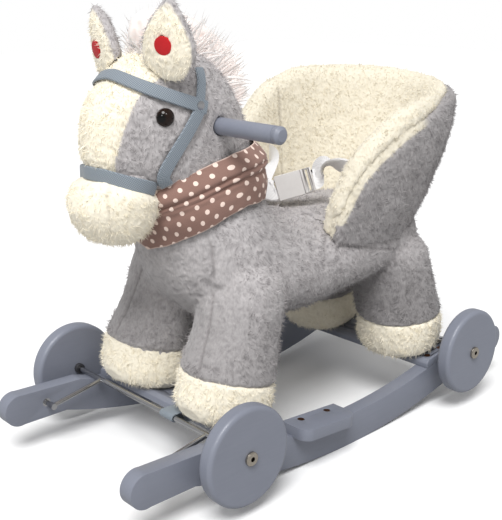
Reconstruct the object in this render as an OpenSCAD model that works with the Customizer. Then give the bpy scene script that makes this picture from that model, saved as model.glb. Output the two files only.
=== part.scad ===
// Plush ride-on horse on wooden rockers, with wheels on two folding wire brackets.
// The horse faces -Y, its left side is +X and the rockers touch the floor at z = 0.

/* [Rockers] */
// Width over the two rocker boards
track_w = 256; // [236:2:290]
// Thickness of a rocker board
rocker_t = 18; // [15:1:22]
// Length of a rocker from tip to tip
rocker_len = 622; // [600:2:650]
// Radius of the running edge
rocker_r = 750; // [720:10:800]
// Depth of a rocker between its edges
rocker_depth = 38; // [34:1:42]
// Radius of the rounded tips
tip_r = 18.5; // [16:0.5:20]
// Height of the tip centres above the floor
tip_z = 55; // [52:0.5:58]
// Half length of the curved run, up to the flat tips
run_half = 212; // [205:1:220]

/* [Crossbars and footrests] */
// Thickness of a crossbar plank
bar_t = 11; // [9:0.5:14]
// Width of the front crossbar plank
front_bar_w = 54; // [48:1:56]
// Width of the rear crossbar plank
rear_bar_w = 52; // [50:0.5:53]
// Eased long edges of a crossbar
bar_ease = 4.2; // [4:0.1:4.8]
// Distance of the front crossbar's middle from its bracket's pivot
front_bar_in = 112.5; // [109:0.5:118]
// Distance of the rear crossbar's middle from its bracket's pivot
rear_bar_in = 85.5; // [84.5:0.5:86.5]
// Tilt of the front crossbar, outer edge up
front_tilt = 12; // [9:0.5:13]
// Tilt of the rear crossbar, outer edge up
rear_tilt = 8; // [7:0.5:13]
// Thickness of a footrest board
rest_t = 13; // [10:1:16]
// Length of a footrest along the rocker
rest_len = 85; // [70:1:95]
// Reach of a footrest past the rocker
rest_reach = 20; // [14:1:26]
// Distance of a footrest's middle from the front crossbar's middle
rest_back = 94; // [88:1:100]
// Corner radius of a footrest
rest_corner_r = 14; // [8:1:18]
// Radius of a wood screw head
screw_head_r = 4; // [3.5:0.1:4.5]
// Radius of a wood screw shank
screw_r = 2; // [1.5:0.1:2.5]
// Length of a wood screw
screw_len = 32; // [26:1:36]

/* [Wheels and brackets] */
// Wheel diameter
wheel_d = 108; // [96:1:114]
// Wheel thickness
wheel_t = 18; // [14:1:22]
// Radius of the rounded wheel rim
wheel_edge_r = 5; // [2:0.5:7]
// Gap between rocker and wheel
wheel_gap = 18.6; // [16:0.2:24]
// Radius of the axle rod
axle_r = 3; // [2.5:0.1:3.5]
// Radius of the bracket arms
arm_r = 2.8; // [2.2:0.1:3.2]
// Distance from the pivot to the axle
arm_len = 68.5; // [66:0.5:70]
// Distance of an arm's middle from the rocker beside it
arm_gap = 13; // [10:1:18]
// Distance of a pivot from the rocker tip
pivot_in = 52.5; // [48:0.5:56]
// Outer radius of a pivot bush
bush_r = 5; // [4.5:0.1:6]
// Radius of a cap nut head
nut_r = 7.5; // [6.5:0.1:9]
// Radius of the smooth cap nut sleeve that a wheel turns on
sleeve_r = 4.5; // [4.2:0.1:5]
// Width of a locking strap
strap_w = 22; // [16:1:26]
// Thickness of a locking strap
strap_t = 1.4; // [1:0.1:2]

/* [Inner frame] */
// Height of the top of the seat board
seat_z = 236; // [232:1:240]
// Thickness of the seat board
board_t = 15; // [12:1:18]
// Width of the seat board
board_w = 136; // [124:1:142]
// Side of a square leg post
post_w = 26; // [22:1:30]
// Distance of the legs from the middle plane
leg_x = 70; // [66:1:73]
// Thickness of the neck board
neck_t = 18; // [14:1:22]
// Width of the neck board
neck_w = 54; // [44:1:60]
// Thickness of the bent backrest board
back_board_t = 6; // [4:0.5:8]

/* [Handle] */
// Diameter of the handle bar
handle_d = 18; // [15:0.5:20]
// Length of the handle bar
handle_len = 292; // [270:2:320]
// Place of the handle along the horse
handle_y = -132; // [-136:1:-128]
// Height of the handle
handle_z = 380; // [374:1:386]

/* [Seat] */
// Height of the top of the backrest
back_z = 408; // [400:1:416]
// Half width of the seat space at the cushion
seat_half_low = 75; // [70:1:78]
// Half width of the seat space at the top of the backrest
seat_half_top = 106; // [98:1:110]
// Padded thickness of the seat wall
wall_t = 36; // [32:0.5:38]
// Front end of the seat sides
seat_front_y = 2; // [-3:1:6]
// Height of the seat cushion at its edge
cushion_t = 18; // [14:1:22]
// Crown of the seat cushion
cushion_crown = 8; // [4:1:10]

/* [Feet and ears] */
// Half width of a foot across the horse
foot_half_w = 56; // [52:0.5:57]
// Half length of a foot along the horse
foot_half_l = 52; // [49:0.5:54]
// Height of a cream foot cuff
foot_h = 50; // [44:1:54]
// Length of an ear
ear_len = 80; // [70:1:86]
// Half width of an ear
ear_half = 30; // [26:0.5:32]
// Radius of the button in an ear
button_r = 9; // [8:0.25:10]
// Travel of the button in an ear
button_travel = 2; // [1:0.1:2.5]

/* [Bridle, scarf and belt] */
// Width of the bridle webbing
bridle_w = 14; // [11:0.5:16]
// Thickness of the bridle webbing
bridle_t = 1.6; // [1.2:0.1:2.2]
// Thickness of the folded scarf
scarf_t = 4; // [3:0.5:6]
// Width of the belt webbing
belt_w = 25; // [20:1:28]
// Thickness of the belt webbing
belt_t = 1.8; // [1.2:0.1:2.4]
// Width of the buckle
buckle_w = 30; // [30:1:36]
// Thickness of the buckle
buckle_t = 10; // [9:0.5:12]

/* [Hidden] */
$fn = 48;
// Clearance of a turning fit
fit = 0.06;
// Clearance of neighbouring soft or seated pieces
gap = 0.3;
// Depth that a cutting tool runs past a face
over = 2;

// Rocker geometry in the side plane, as [y, z]
top_r = rocker_r - rocker_depth;
arc_centre = [0, rocker_r];
tip_y = rocker_len / 2 - tip_r;
pivot_y = rocker_len / 2 - pivot_in;
front_bar_y = front_bar_in - pivot_y;
rear_bar_y = pivot_y - rear_bar_in;
rest_y = front_bar_y + rest_back;
// Depth that crossbars and footrests are let into the rocker tops
let_in = 0.4;
rocker_in_x = track_w / 2 - rocker_t;
arm_x = rocker_in_x - arm_gap;
screw_x = track_w / 2 - rocker_t / 2;
rest_screw_y = rest_len / 4;
wheel_in_x = track_w / 2 + wheel_gap;
wheel_out_x = wheel_in_x + wheel_t;
bush_len = 13;
nut_head_t = 3.2;
collar_t = 5;
boss_wall = 1;
boss_len = 8;
axle_half = wheel_out_x - 4;

// Middle of a crossbar's underside: its inner edge meets the rocker top and its outer edge is let in
function rocker_top(y) = rocker_r - sqrt(top_r * top_r - y * y);
function bar_w(y) = y > 0 ? rear_bar_w : front_bar_w;
function tilt_of(y) = y > 0 ? rear_tilt : front_tilt;
function bar_place(y, tilt) =
    let (half = bar_w(y) / 2, inner = y - sign(y) * half * cos(tilt))
    [y, rocker_top(inner) - let_in + half * sin(tilt)];

// Rear end of the curved run, and the straight edges that lead from it into a round tip
run_top = rocker_top(run_half);
run_end = [
    [run_half + 40, -over], [run_half + 40, tip_z], [run_half + 12, run_top - 12],
    [run_half - 12, run_top + 12]];
tip_back = 4;
tip_sag = tip_r - sqrt(pow(tip_r, 2) - pow(tip_back, 2)) + let_in / 6;
tip_edge = [
    [tip_y - tip_back, tip_z + tip_r - tip_sag], [run_half - let_in / 2, run_top - let_in / 4],
    [run_half - tip_r / 2, tip_z - tip_r / 3], [run_half, tip_z - tip_r + let_in],
    [tip_y - tip_back, tip_z - tip_r + tip_sag]];

function other_end(k) = [for (i = [len(k) - 1 : -1 : 0]) [-k[i][0], k[i][1]]];

// Places of the axles, folded up: the front one on the rocker tops, the rear one on its crossbar
function unit(v) = v / norm(v);
function turned(v) = [-v[1], v[0]];
function meet(c, rc, p, rp, side) =
    let (d = norm(p - c), a = (rc * rc - rp * rp + d * d) / (2 * d), h = sqrt(rc * rc - a * a))
    c + a * unit(p - c) + side * h * turned(unit(p - c));
front_pivot = [-pivot_y, tip_z];
rear_pivot = [pivot_y, tip_z];
front_axle = meet(arc_centre, top_r - axle_r - gap, front_pivot, arm_len, 1);
rear_up = [-sin(rear_tilt), cos(rear_tilt)];
rear_along = [cos(rear_tilt), sin(rear_tilt)];
axle_up = bar_t + axle_r + gap;
pivot_up = (rear_pivot - bar_place(rear_bar_y, rear_tilt)) * rear_up;
pivot_along = (rear_pivot - bar_place(rear_bar_y, rear_tilt)) * rear_along;
axle_along = pivot_along - sqrt(pow(arm_len, 2) - pow(axle_up - pivot_up, 2));
rear_axle = bar_place(rear_bar_y, rear_tilt) + axle_up * rear_up + axle_along * rear_along;
sweep_r = arm_len + axle_r + gap;

// Place of a folded axle in the frame of its crossbar, along and above the plank
function on_plank(y, axle) =
    let (t = sign(y) * tilt_of(y), v = axle - bar_place(y, tilt_of(y)))
    [v * [cos(t), sin(t)], v * [-sin(t), cos(t)]];

// Sizes of the inner frame
bolt_r = 3;
board_front_y = -150;
board_len = 308;
tenon_w = 30;

// Local offsets of the feet from their crossbars
front_foot_off = -5;
rear_foot_off = -8;
strap_lap = 16;
front_strap_x = 33;
rear_strap_x = -7;

// Sizes of the seat wall at its foot and at its top
seat_depth_low = 82;
seat_depth_top = 146;
seat_mid_low = 84;
seat_mid_top = 104;
tip_wall_t = 24;
lining_share = 0.4;
board_share = 0.58;
fullness = 0.82;
roll_drop = 22;

// Height of the rim of the seat wall along the horse, and how far the soft back leans to the left
RIM = [[0, 270], [3, 296], [11, 322], [33, 347], [60, 369], [95, 392], [135, 401], [180, 405], [240, 408]];
LEAN = [[50, 0], [110, 0.05], [170, 0.1]];

// Stations round the seat wall: angle round the back, and share of the straight side
SIDE = 5;
STATIONS = concat(
    [for (i = [0 : SIDE - 1]) [90, 1 - i / SIDE]],
    [for (i = [0 : 12]) [90 - 15 * i, 0]],
    [for (i = [1 : SIDE]) [-90, i / SIDE]]);

BACK = [for (s = STATIONS) if (s[1] == 0 && abs(s[0]) <= 75) s];

// Body sections along its spine: y, z, half width, half height, direction of the spine
BODY = [
    [200, 226, 8, 6, 0], [192, 226, 48, 32, 0], [172, 225, 80, 46, 0], [130, 223, 98, 50, 0],
    [70, 215, 103, 53, 0], [0, 209, 104, 55, 0], [-55, 212, 100, 62, 10], [-98, 226, 96, 74, 35],
    [-118, 256, 88, 73, 62], [-124, 288, 72, 68, 80], [-124, 312, 54, 58, 92], [-124, 322, 10, 12, 92]];

// Head sections by height: z, front, back, half width
HEAD = [
    [262, -180, -66, 50], [288, -188, -58, 55], [308, -198, -52, 58], [322, -226, -50, 59],
    [334, -250, -51, 59], [348, -258, -54, 60], [370, -259, -61, 61], [395, -255, -71, 61],
    [416, -243, -85, 58], [436, -222, -104, 51], [450, -202, -126, 38], [458, -184, -150, 19],
    [460, -174, -166, 5]];

// Muzzle sections by height: z, front, back, half width
MUZZLE = [
    [263, -234, -222, 6], [267, -251, -206, 26], [277, -264, -194, 40], [290, -272, -186, 48],
    [304, -276, -182, 51], [318, -273, -180, 52], [331, -265, -182, 52], [340, -259, -186, 50]];

// Ear sections along its length: share, half width share, half thickness
EAR = [
    [0, 0.55, 8], [0.1, 0.82, 11], [0.3, 1, 13], [0.55, 0.9, 12], [0.78, 0.56, 9], [0.94, 0.24, 5],
    [1, 0.05, 1.5]];
ear_base = [45, -190, 431];
ear_lean = [0.22, -0.12, 0.97];
left_ear_turn = 24;
right_ear_turn = 14;
button_share = 0.44;
right_ear_drop = 9;
capsule_r = 14;
capsule_t = 8;
stem_r = 4;
cap_t = 3;

// Mane sections along its crest: y, z, half width, height
MANE = [
    [-192, 452, 8, 18], [-184, 456, 15, 36], [-168, 458, 19, 40], [-140, 451, 20, 40], [-114, 438, 20, 38],
    [-94, 422, 19, 34], [-80, 404, 15, 24], [-72, 392, 6, 8]];

// Tail sections along its hang: y, z, half width, half depth
TAIL = [
    [193, 236, 9, 8], [206, 234, 13, 12], [216, 216, 16, 13], [219, 190, 17, 13], [216, 162, 14, 11],
    [212, 144, 6, 5]];

// Scarf sections from its lower edge to its upper edge: y, z, half width, half length, drop in front, fold
SCARF = [
    [-124, 297, 74, 71, 46, 0.6], [-125, 311, 73, 73, 42, 1.4], [-127, 322, 71, 76, 39, 0.7],
    [-129, 333, 69, 81, 37, 1.3], [-132, 345, 65, 86, 35, 0.5]];
scarf_in = 4;

// Buckle frame and belt routes
buckle_mid = [10, 37, 291];
release = unit([0.6, 0.755, 0.26]);
buckle_face = unit(cross(release, cross([0.7, -0.65, 0.28], release)));
buckle_across = cross(release, buckle_face);
socket_len = 32;
clip_len = 13;
prong_len = 14;
wall_across = [0.35, -0.3, 1];
LEFT_BELT = concat(
    [for (o = [gap + clip_len + gap, gap + clip_len + 5]) buckle_mid + o * release],
    [[25, 51, 308], [36, 51, 314], [54, 56, 314], [74, 57, 311], [96, 55, 308]]);
RIGHT_BELT = concat(
    [for (o = [-socket_len - 2 * gap, -socket_len - 6]) buckle_mid + o * release],
    [[-28, 4, 287], [-34, 21, 303], [-46, 42, 310], [-66, 60, 311], [-86, 75, 309], [-98, 84, 307]]);

// Sections of a leg and a foot: share of the height and of the half width
LEG = [
    [0, 0.97], [0.02, 0.99], [0.18, 0.97], [0.43, 0.94], [0.7, 0.92], [0.87, 0.8], [0.96, 0.5], [1, 0.12]];
FOOT = [[0, 0.72], [3, 0.84], [10, 0.95], [22, 1], [36, 1], [46, 0.985]];
leg_in = 0.08;
leg_back = 0.08;
front_leg_h = 129;
rear_leg_h = 112;

// Eyes and bridle
eye_r = 9;
eye_z = 395;
eye_angle = 65;
eye_normal = 70;
rivet_angle = 90;
rivet_z = 404;
rivet_r = 2;
rivet_head_r = 4.5;
rivet_head_t = 1.6;
brow_z = 434;
nose_z = 340;
nose_y = -205;
nose_drop = 18;
nose_end = 84;
band_in = 3;
cheek_half = 5.2;
cheek_angle = 60;
cheek_lap = 9;
crown_half = 9;
crown_angle = 101;
crown_z = 446;
// Distance of the cheek and crown straps from the edges of the browband
brow_clear = 3.6;

grey_paint = [0.46, 0.48, 0.54];
plush = [0.59, 0.58, 0.59];
cream = [0.96, 0.93, 0.84];
chrome = [0.8, 0.8, 0.82];
webbing = [0.53, 0.56, 0.59];
wood = [0.8, 0.66, 0.45];
bronze = [0.42, 0.3, 0.2];

// Curves and lofts
function lerp(a, b, t) = a + (b - a) * t;
function item(k, i) = k[max(0, min(len(k) - 1, i))];
function bend(a, b, c, d, t) =
    0.5 * (2 * b + (c - a) * t + (2 * a - 5 * b + 4 * c - d) * t * t + (3 * b - a - 3 * c + d) * t * t * t);
function spline(k, steps) = concat(
    [for (i = [0 : len(k) - 2], s = [0 : steps - 1])
        bend(item(k, i - 1), k[i], k[i + 1], item(k, i + 2), s / steps)],
    [k[len(k) - 1]]);
function column(rows, c) = [for (r = rows) [r[0], r[c]]];
function mean(r) = [for (p = r) 1] * r / len(r);

// Closed solid through rings of equal count, turning left about the direction of travel
module loft(rings) {
    n = len(rings[0]);
    m = len(rings);
    points = concat([for (r = rings) each r], [mean(rings[0]), mean(rings[m - 1])]);
    sides = [for (j = [0 : m - 2], i = [0 : n - 1])
        let (a = j * n + i, b = j * n + (i + 1) % n) each [[a, a + n, b + n], [a, b + n, b]]];
    caps = [for (i = [0 : n - 1])
        let (k = (i + 1) % n) each [[m * n, i, k], [m * n + 1, (m - 1) * n + k, (m - 1) * n + i]]];
    polyhedron(points, concat(sides, caps), convexity = 6);
}

// Closed loop through rings of equal count
module loop(rings) {
    n = len(rings[0]);
    m = len(rings);
    sides = [for (j = [0 : m - 1], i = [0 : n - 1])
        let (q = (j + 1) % m * n, a = j * n + i, b = j * n + (i + 1) % n)
        each [[a, q + i, q + (i + 1) % n], [a, q + (i + 1) % n, b]]];
    polyhedron([for (r = rings) each r], sides, convexity = 6);
}

// Level ring of an oval section between a front and a back
function oval(row, n, out = 0) = [for (i = [0 : n - 1])
    let (a = 360 * i / n)
    [(row[3] + out) * cos(a), (row[1] + row[2]) / 2 + ((row[2] - row[1]) / 2 + out) * sin(a), row[0]]];

module rod(a, b, r) {
    v = b - a;
    translate(a) rotate([0, acos(v[2] / norm(v)), atan2(v[1], v[0])]) cylinder(r = r, h = norm(v));
}

// Frame standing on the rocker top, its Z square to the rocker
module on_rocker(y) {
    translate([0, 0, rocker_r]) rotate([asin(y / top_r), 0, 0])
        translate([0, 0, -top_r - let_in]) children();
}

// Frame on the underside of a crossbar, its Z square to the plank
module on_bar(y) {
    p = bar_place(y, tilt_of(y));
    translate([0, p[0], p[1]]) rotate([sign(y) * tilt_of(y), 0, 0]) children();
}

module both_sides() {
    children();
    mirror([1, 0, 0]) children();
}

module side_of(left) {
    mirror([left ? 0 : 1, 0, 0]) children();
}

// Rockers
module rocker_outline() {
    intersection() {
        difference() {
            translate(arc_centre) circle(r = rocker_r, $fn = 200);
            translate(arc_centre) circle(r = top_r, $fn = 200);
        }
        polygon(concat(run_end, other_end(run_end)));
    }
    for (s = [-1, 1]) translate([s * tip_y, tip_z]) circle(r = tip_r);
    polygon(tip_edge);
    polygon(other_end(tip_edge));
}

module rocker(left) {
    color(grey_paint) side_of(left) difference() {
        translate([rocker_in_x, 0, 0]) rotate([90, 0, 90]) linear_extrude(rocker_t) rocker_outline();
        for (y = [front_bar_y, rear_bar_y]) on_bar(y) {
            translate([0, -bar_w(y) / 2, 0]) cube([track_w, bar_w(y), tip_z]);
            for (s = [-1, 1]) translate([screw_x, s * bar_w(y) / 4, 0]) screw_hole(bar_t);
        }
        on_rocker(rest_y) {
            translate([0, -rest_len / 2, 0]) cube([track_w, rest_len, tip_z]);
            for (s = [-1, 1]) translate([screw_x, s * rest_screw_y, 0]) screw_hole(rest_t);
        }
        for (s = [-1, 1]) translate([rocker_in_x - over, s * pivot_y, tip_z]) rotate([0, 90, 0])
            cylinder(r = bush_r + fit, h = bush_len + over);
    }
}

// Screw whose head is flush with the top of a board of the given thickness
module screw(t) {
    translate([0, 0, t - 3]) cylinder(r1 = screw_r, r2 = screw_head_r, h = 2);
    translate([0, 0, t - 1]) cylinder(r = screw_head_r, h = 1);
    translate([0, 0, t - screw_len]) cylinder(r = screw_r, h = screw_len - 2);
}

module screw_hole(t) {
    translate([0, 0, t - 3]) cylinder(r1 = screw_r + fit, r2 = screw_head_r + fit, h = 2);
    translate([0, 0, t - 1]) cylinder(r = screw_head_r + fit, h = 1 + over);
    translate([0, 0, t - screw_len]) cylinder(r = screw_r + fit, h = screw_len);
}

module crossbar(y, foot_off) {
    half = bar_w(y) / 2;
    color(grey_paint) on_bar(y) difference() {
        translate([-track_w / 2, 0, 0]) rotate([90, 0, 90]) linear_extrude(track_w) polygon([
            [-half, 0], [half, 0], [half, bar_t - bar_ease], [half - bar_ease, bar_t],
            [bar_ease - half, bar_t], [-half, bar_t - bar_ease]]);
        for (x = [-screw_x, screw_x], s = [-1, 1]) translate([x, s * bar_w(y) / 4, 0]) screw_hole(bar_t);
        for (x = [-leg_x, leg_x]) translate([x, foot_off, -over])
            cylinder(r = bolt_r + fit, h = bar_t + 2 * over);
    }
}

module footrest(left) {
    reach = track_w / 2 + rest_reach;
    color(grey_paint) side_of(left) on_rocker(rest_y) difference() {
        linear_extrude(rest_t) union() {
            translate([rocker_in_x, -rest_len / 2]) square([rocker_t + rest_reach - rest_corner_r, rest_len]);
            translate([rocker_in_x, rest_corner_r - rest_len / 2])
                square([rocker_t + rest_reach, rest_len - 2 * rest_corner_r]);
            for (s = [-1, 1]) translate([reach - rest_corner_r, s * (rest_len / 2 - rest_corner_r)])
                circle(r = rest_corner_r);
        }
        for (s = [-1, 1]) translate([screw_x, s * rest_screw_y, 0]) screw_hole(rest_t);
    }
}

module pivot_bushes() {
    color(chrome) both_sides() for (s = [-1, 1])
        translate([rocker_in_x, s * pivot_y, tip_z]) rotate([0, 90, 0]) difference() {
            cylinder(r = bush_r, h = bush_len);
            translate([0, 0, -over]) cylinder(r = arm_r + fit, h = bush_len + 2 * over);
        }
}

module crossbar_screws() {
    color(bronze) for (y = [front_bar_y, rear_bar_y]) on_bar(y)
        for (x = [-screw_x, screw_x], s = [-1, 1]) translate([x, s * bar_w(y) / 4, 0]) screw(bar_t);
}

module footrest_screws() {
    color(bronze) on_rocker(rest_y)
        for (x = [-screw_x, screw_x], s = [-1, 1]) translate([x, s * rest_screw_y, 0]) screw(rest_t);
}

// Folding wheel brackets
module wheel_bracket(axle, pivot) {
    pin_x = rocker_in_x + bush_len - 1;
    color(chrome) {
        rod([-axle_half, axle[0], axle[1]], [axle_half, axle[0], axle[1]], axle_r);
        for (s = [-1, 1]) {
            rod([s * arm_x, axle[0], axle[1]], [s * arm_x, pivot[0], pivot[1]], arm_r);
            translate([s * arm_x, pivot[0], pivot[1]]) rotate([0, 90, 0])
                cylinder(r = arm_r + boss_wall, h = boss_len, center = true);
            rod([s * arm_x, pivot[0], pivot[1]], [s * pin_x, pivot[0], pivot[1]], arm_r);
        }
    }
}

module wheel(axle, left) {
    flat_r = wheel_d / 2 - wheel_edge_r;
    color(grey_paint) side_of(left) translate([wheel_in_x, axle[0], axle[1]]) rotate([0, 90, 0])
        rotate_extrude($fn = 96) difference() {
            union() {
                square([flat_r, wheel_t]);
                translate([0, wheel_edge_r]) square([wheel_d / 2, wheel_t - 2 * wheel_edge_r]);
                for (z = [wheel_edge_r, wheel_t - wheel_edge_r])
                    translate([flat_r, z]) circle(r = wheel_edge_r);
            }
            translate([-wheel_d, -over]) square([wheel_d + sleeve_r + fit, wheel_t + 2 * over]);
        }
}

// Cap nut: a flat head with a hex socket, on a smooth sleeve screwed over the end of the axle
module cap_nuts(axle) {
    sleeve = wheel_t - 0.4;
    color(chrome) both_sides() translate([wheel_out_x + gap, axle[0], axle[1]]) rotate([0, 90, 0])
        difference() {
            union() {
                cylinder(r = nut_r, h = nut_head_t - 0.8);
                translate([0, 0, nut_head_t - 0.8]) cylinder(r1 = nut_r, r2 = nut_r - 0.8, h = 0.8);
                translate([0, 0, -sleeve]) cylinder(r = sleeve_r, h = sleeve);
            }
            translate([0, 0, nut_head_t - 2.2]) cylinder(r = 2.6, h = over + 2, $fn = 6);
            translate([0, 0, -sleeve - over]) cylinder(r = axle_r + fit, h = sleeve - 4 - gap + over);
        }
}

module axle_collars(axle) {
    color([0.25, 0.25, 0.27]) both_sides() translate([wheel_in_x - gap - collar_t, axle[0], axle[1]])
        rotate([0, 90, 0]) difference() {
            cylinder(r = axle_r + 3, h = collar_t);
            translate([0, 0, -over]) cylinder(r = axle_r + fit, h = collar_t + 2 * over);
        }
}

// Hook and loop strap round a crossbar edge and the folded axle, in the frame of the crossbar
module lock_strap(y, axle, x) {
    half = bar_w(y) / 2;
    open_from = strap_lap - half;
    color(webbing) on_bar(y) translate([x - strap_w / 2, 0, 0]) rotate([90, 0, 90]) linear_extrude(strap_w)
        difference() {
            offset(delta = strap_t) strap_core(y, axle);
            strap_core(y, axle);
            translate([y > 0 ? -2 * half : open_from, -2 * half]) square([2 * half - open_from, 4 * half]);
        }
}

// Space inside a strap: the crossbar edge and the axle beside or above it
module strap_core(y, axle) {
    half = bar_w(y) / 2;
    hull() {
        translate([y > 0 ? 0 : -half - gap, -gap]) square([half + gap, bar_t + 2 * gap]);
        translate(on_plank(y, axle)) circle(r = axle_r + gap, $fn = 24);
    }
}

// Space that a strap needs in the foot beside it
module strap_space(y, axle, x) {
    on_bar(y) translate([x - strap_w / 2 - gap, 0, 0]) {
        rotate([90, 0, 90]) linear_extrude(strap_w + 2 * gap) offset(delta = strap_t + gap)
            strap_core(y, axle);
        translate([0, -bar_w(y), bar_t]) cube([strap_w + 2 * gap, 2 * bar_w(y), strap_t + 4 * gap]);
    }
}

// Space beside the inner faces of the wheels
module wheel_sides() {
    both_sides() translate([wheel_in_x - gap, -rocker_len, 0]) cube([track_w, 2 * rocker_len, seat_z]);
}

// Inner frame
module board_space() {
    translate([-board_w / 2 - gap, board_front_y - gap, seat_z - board_t - gap])
        cube([board_w + 2 * gap, board_len + 2 * gap, board_t + 2 * gap]);
}

module seat_board() {
    color(wood) difference() {
        translate([-board_w / 2, board_front_y, seat_z - board_t]) cube([board_w, board_len, board_t]);
        neck_tenon(fit);
    }
}

module neck_tenon(c) {
    translate([-neck_t / 2 - c, handle_y - tenon_w / 2 - c, seat_z - board_t - over * sign(c)])
        cube([neck_t + 2 * c, tenon_w + 2 * c, board_t + 2 * over]);
}

module neck_board() {
    neck_top = handle_z + handle_d + 8;
    color(wood) difference() {
        union() {
            translate([-neck_t / 2, handle_y - neck_w / 2, seat_z]) cube([neck_t, neck_w, neck_top - seat_z]);
            neck_tenon(0);
        }
        handle_space(fit);
    }
}

module post(y, off, x, c) {
    on_bar(y) translate([x - post_w / 2 - c, off - post_w / 2 - c, bar_t - c])
        cube([post_w + 2 * c, post_w + 2 * c, seat_z]);
}

module each_post() {
    for (x = [-leg_x, leg_x]) {
        post(front_bar_y, front_foot_off, x, 0);
        post(rear_bar_y, rear_foot_off, x, 0);
    }
}

module leg_posts() {
    color(wood) difference() {
        each_post();
        translate([-track_w, -rocker_len, seat_z - board_t]) cube([2 * track_w, 2 * rocker_len, seat_z]);
        leg_bolt_shapes(fit);
    }
}

module leg_bolt_shapes(c) {
    for (b = [[front_bar_y, front_foot_off], [rear_bar_y, rear_foot_off]], x = [-leg_x, leg_x])
        on_bar(b[0]) translate([x, b[1], 0]) {
            translate([0, 0, -c]) cylinder(r = bolt_r + c, h = bar_t + 40 + 2 * c);
            translate([0, 0, -3]) cylinder(r = bolt_r + 4, h = 3);
        }
}

module leg_bolts() {
    color(chrome) leg_bolt_shapes(0);
}

module handle_space(c) {
    translate([0, handle_y, handle_z]) rotate([0, 90, 0])
        cylinder(d = handle_d + 2 * c, h = handle_len + 2 * over, center = true);
}

module handle_bar() {
    round_end = 3;
    ring_in = 9;
    color(grey_paint) translate([0, handle_y, handle_z]) rotate([0, 90, 0]) difference() {
        union() {
            cylinder(d = handle_d, h = handle_len - 2 * round_end, center = true);
            for (s = [0, 1]) mirror([0, 0, s]) translate([0, 0, handle_len / 2 - round_end])
                cylinder(d1 = handle_d, d2 = handle_d - 2 * round_end, h = round_end);
        }
        for (s = [0, 1]) mirror([0, 0, s]) translate([0, 0, handle_len / 2 - ring_in]) difference() {
            cylinder(d = handle_d + over, h = 1);
            translate([0, 0, -over]) cylinder(d = handle_d - 0.8, h = 2 * over + 1);
        }
    }
}

// Seat wall: inside half width, inside depth and centre line at a height
function seat_share(z) = (z - seat_z) / (back_z - seat_z);
function seat_a(z) = lerp(seat_half_low, seat_half_top, seat_share(z));
function seat_b(z) = lerp(seat_depth_low, seat_depth_top, seat_share(z));
function seat_y(z) = lerp(seat_mid_low, seat_mid_top, seat_share(z));
function seat_point(s, o, z) = [
    (seat_a(z) + o) * sin(s[0]),
    seat_y(z) + (seat_b(z) + o) * cos(s[0]) - s[1] * (seat_y(z) - seat_front_y),
    z];
rim_rows = spline(RIM, 3);
rim_guess = 340;
rim_rise = back_z - RIM[len(RIM) - 1][1];
function rim(y) = lookup(y, rim_rows) + rim_rise;
function rim_of(s, tries = 3, z = rim_guess) =
    let (p = seat_point(s, wall_t / 2, z))
    tries == 0 ? z : rim_of(s, tries - 1, rim(p[1]) - lookup(p[1], LEAN) * p[0]);
function wall_at(s) = lerp(wall_t, tip_wall_t, s[1] * s[1]);

// Ring of the seat wall at one station, from pairs of a share of the thickness and a height
function wall_ring(s, pairs) = [for (p = pairs) seat_point(s, p[0] * wall_at(s), p[1])];

// The lining rolls over the side walls and stops at the inner edge of the back
function roll_of(s) = s[1] > 0 ? 1 : max(0, (abs(s[0]) - 60) / 30);
function seam_share(k) = lerp(0.5, 0.88, k);
function seam_drop(k) = lerp(5, roll_drop, k);

function lining_pairs(zt, k, c) = let (g = c / wall_t) [
    [0, seat_z - c], [0, zt - 14], [0.12, zt - 5], [lerp(0.28, 0.36, k), zt],
    [lerp(0.4, 0.62, k), zt - lerp(1, 4, k)], [lerp(0.47, 0.82, k) + g, zt - lerp(3, 13, k)],
    [seam_share(k) + g, zt - seam_drop(k) - c], [lining_share + g, zt - roll_drop - c],
    [lining_share + g, seat_z - c]];

function shell_pairs(zt, k) = [
    [lining_share - 0.1, seat_z], [lining_share - 0.1, zt - roll_drop + 2],
    [seam_share(k) - 0.08, zt - seam_drop(k)],
    [lerp(0.85, 0.96, k), zt - seam_drop(k) - lerp(4, 6, k)],
    [1.06, lerp(seat_z, zt - roll_drop, 0.88)], [1.12, lerp(seat_z, zt - roll_drop, 0.65)],
    [1.08, lerp(seat_z, zt - roll_drop, 0.3)], [0.85, seat_z - 14], [0.4, seat_z - 30]];

function board_pairs(zt, c) = [
    [board_share - c, seat_z + gap - c], [board_share - c, zt - roll_drop - 8 + c],
    [board_share + back_board_t / wall_t + c, zt - roll_drop - 8 + c],
    [board_share + back_board_t / wall_t + c, seat_z + gap - c]];

module backrest_wall(c) {
    loft([for (s = BACK) wall_ring(s, board_pairs(rim_of(s), c))]);
}

module backrest_board() {
    color(wood) backrest_wall(0);
}

// Space of the seat from its wall's outside inwards, closed in front by the withers
withers_z = 264;
withers_out = 12;
function withers(x, z) = seat_front_y + (withers_out - 0.93 * (z - withers_z)) * (1 - pow(x, 2));
function seat_ring(z, o) = concat(
    [for (s = STATIONS) seat_point(s, o * wall_at(s), z)],
    [for (i = [1 : 7]) let (x = -1 + i / 4, a = seat_a(z) + o * tip_wall_t) [a * x, withers(x, z), z]]);

module seat_space(o, levels) {
    loft([for (z = levels) seat_ring(z, o)]);
}

module shell_form() {
    loft([for (s = STATIONS) wall_ring(s, shell_pairs(rim_of(s), roll_of(s)))]);
}

module lining_form(c) {
    loft([for (s = STATIONS) wall_ring(s, lining_pairs(rim_of(s), roll_of(s), c))]);
}

module seat_shell() {
    color(plush) difference() {
        shell_form();
        lining_form(gap);
        body_form();
        backrest_wall(gap / wall_t);
    }
}

module seat_lining() {
    color(cream) difference() {
        lining_form(0);
        body_form();
    }
}

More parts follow.
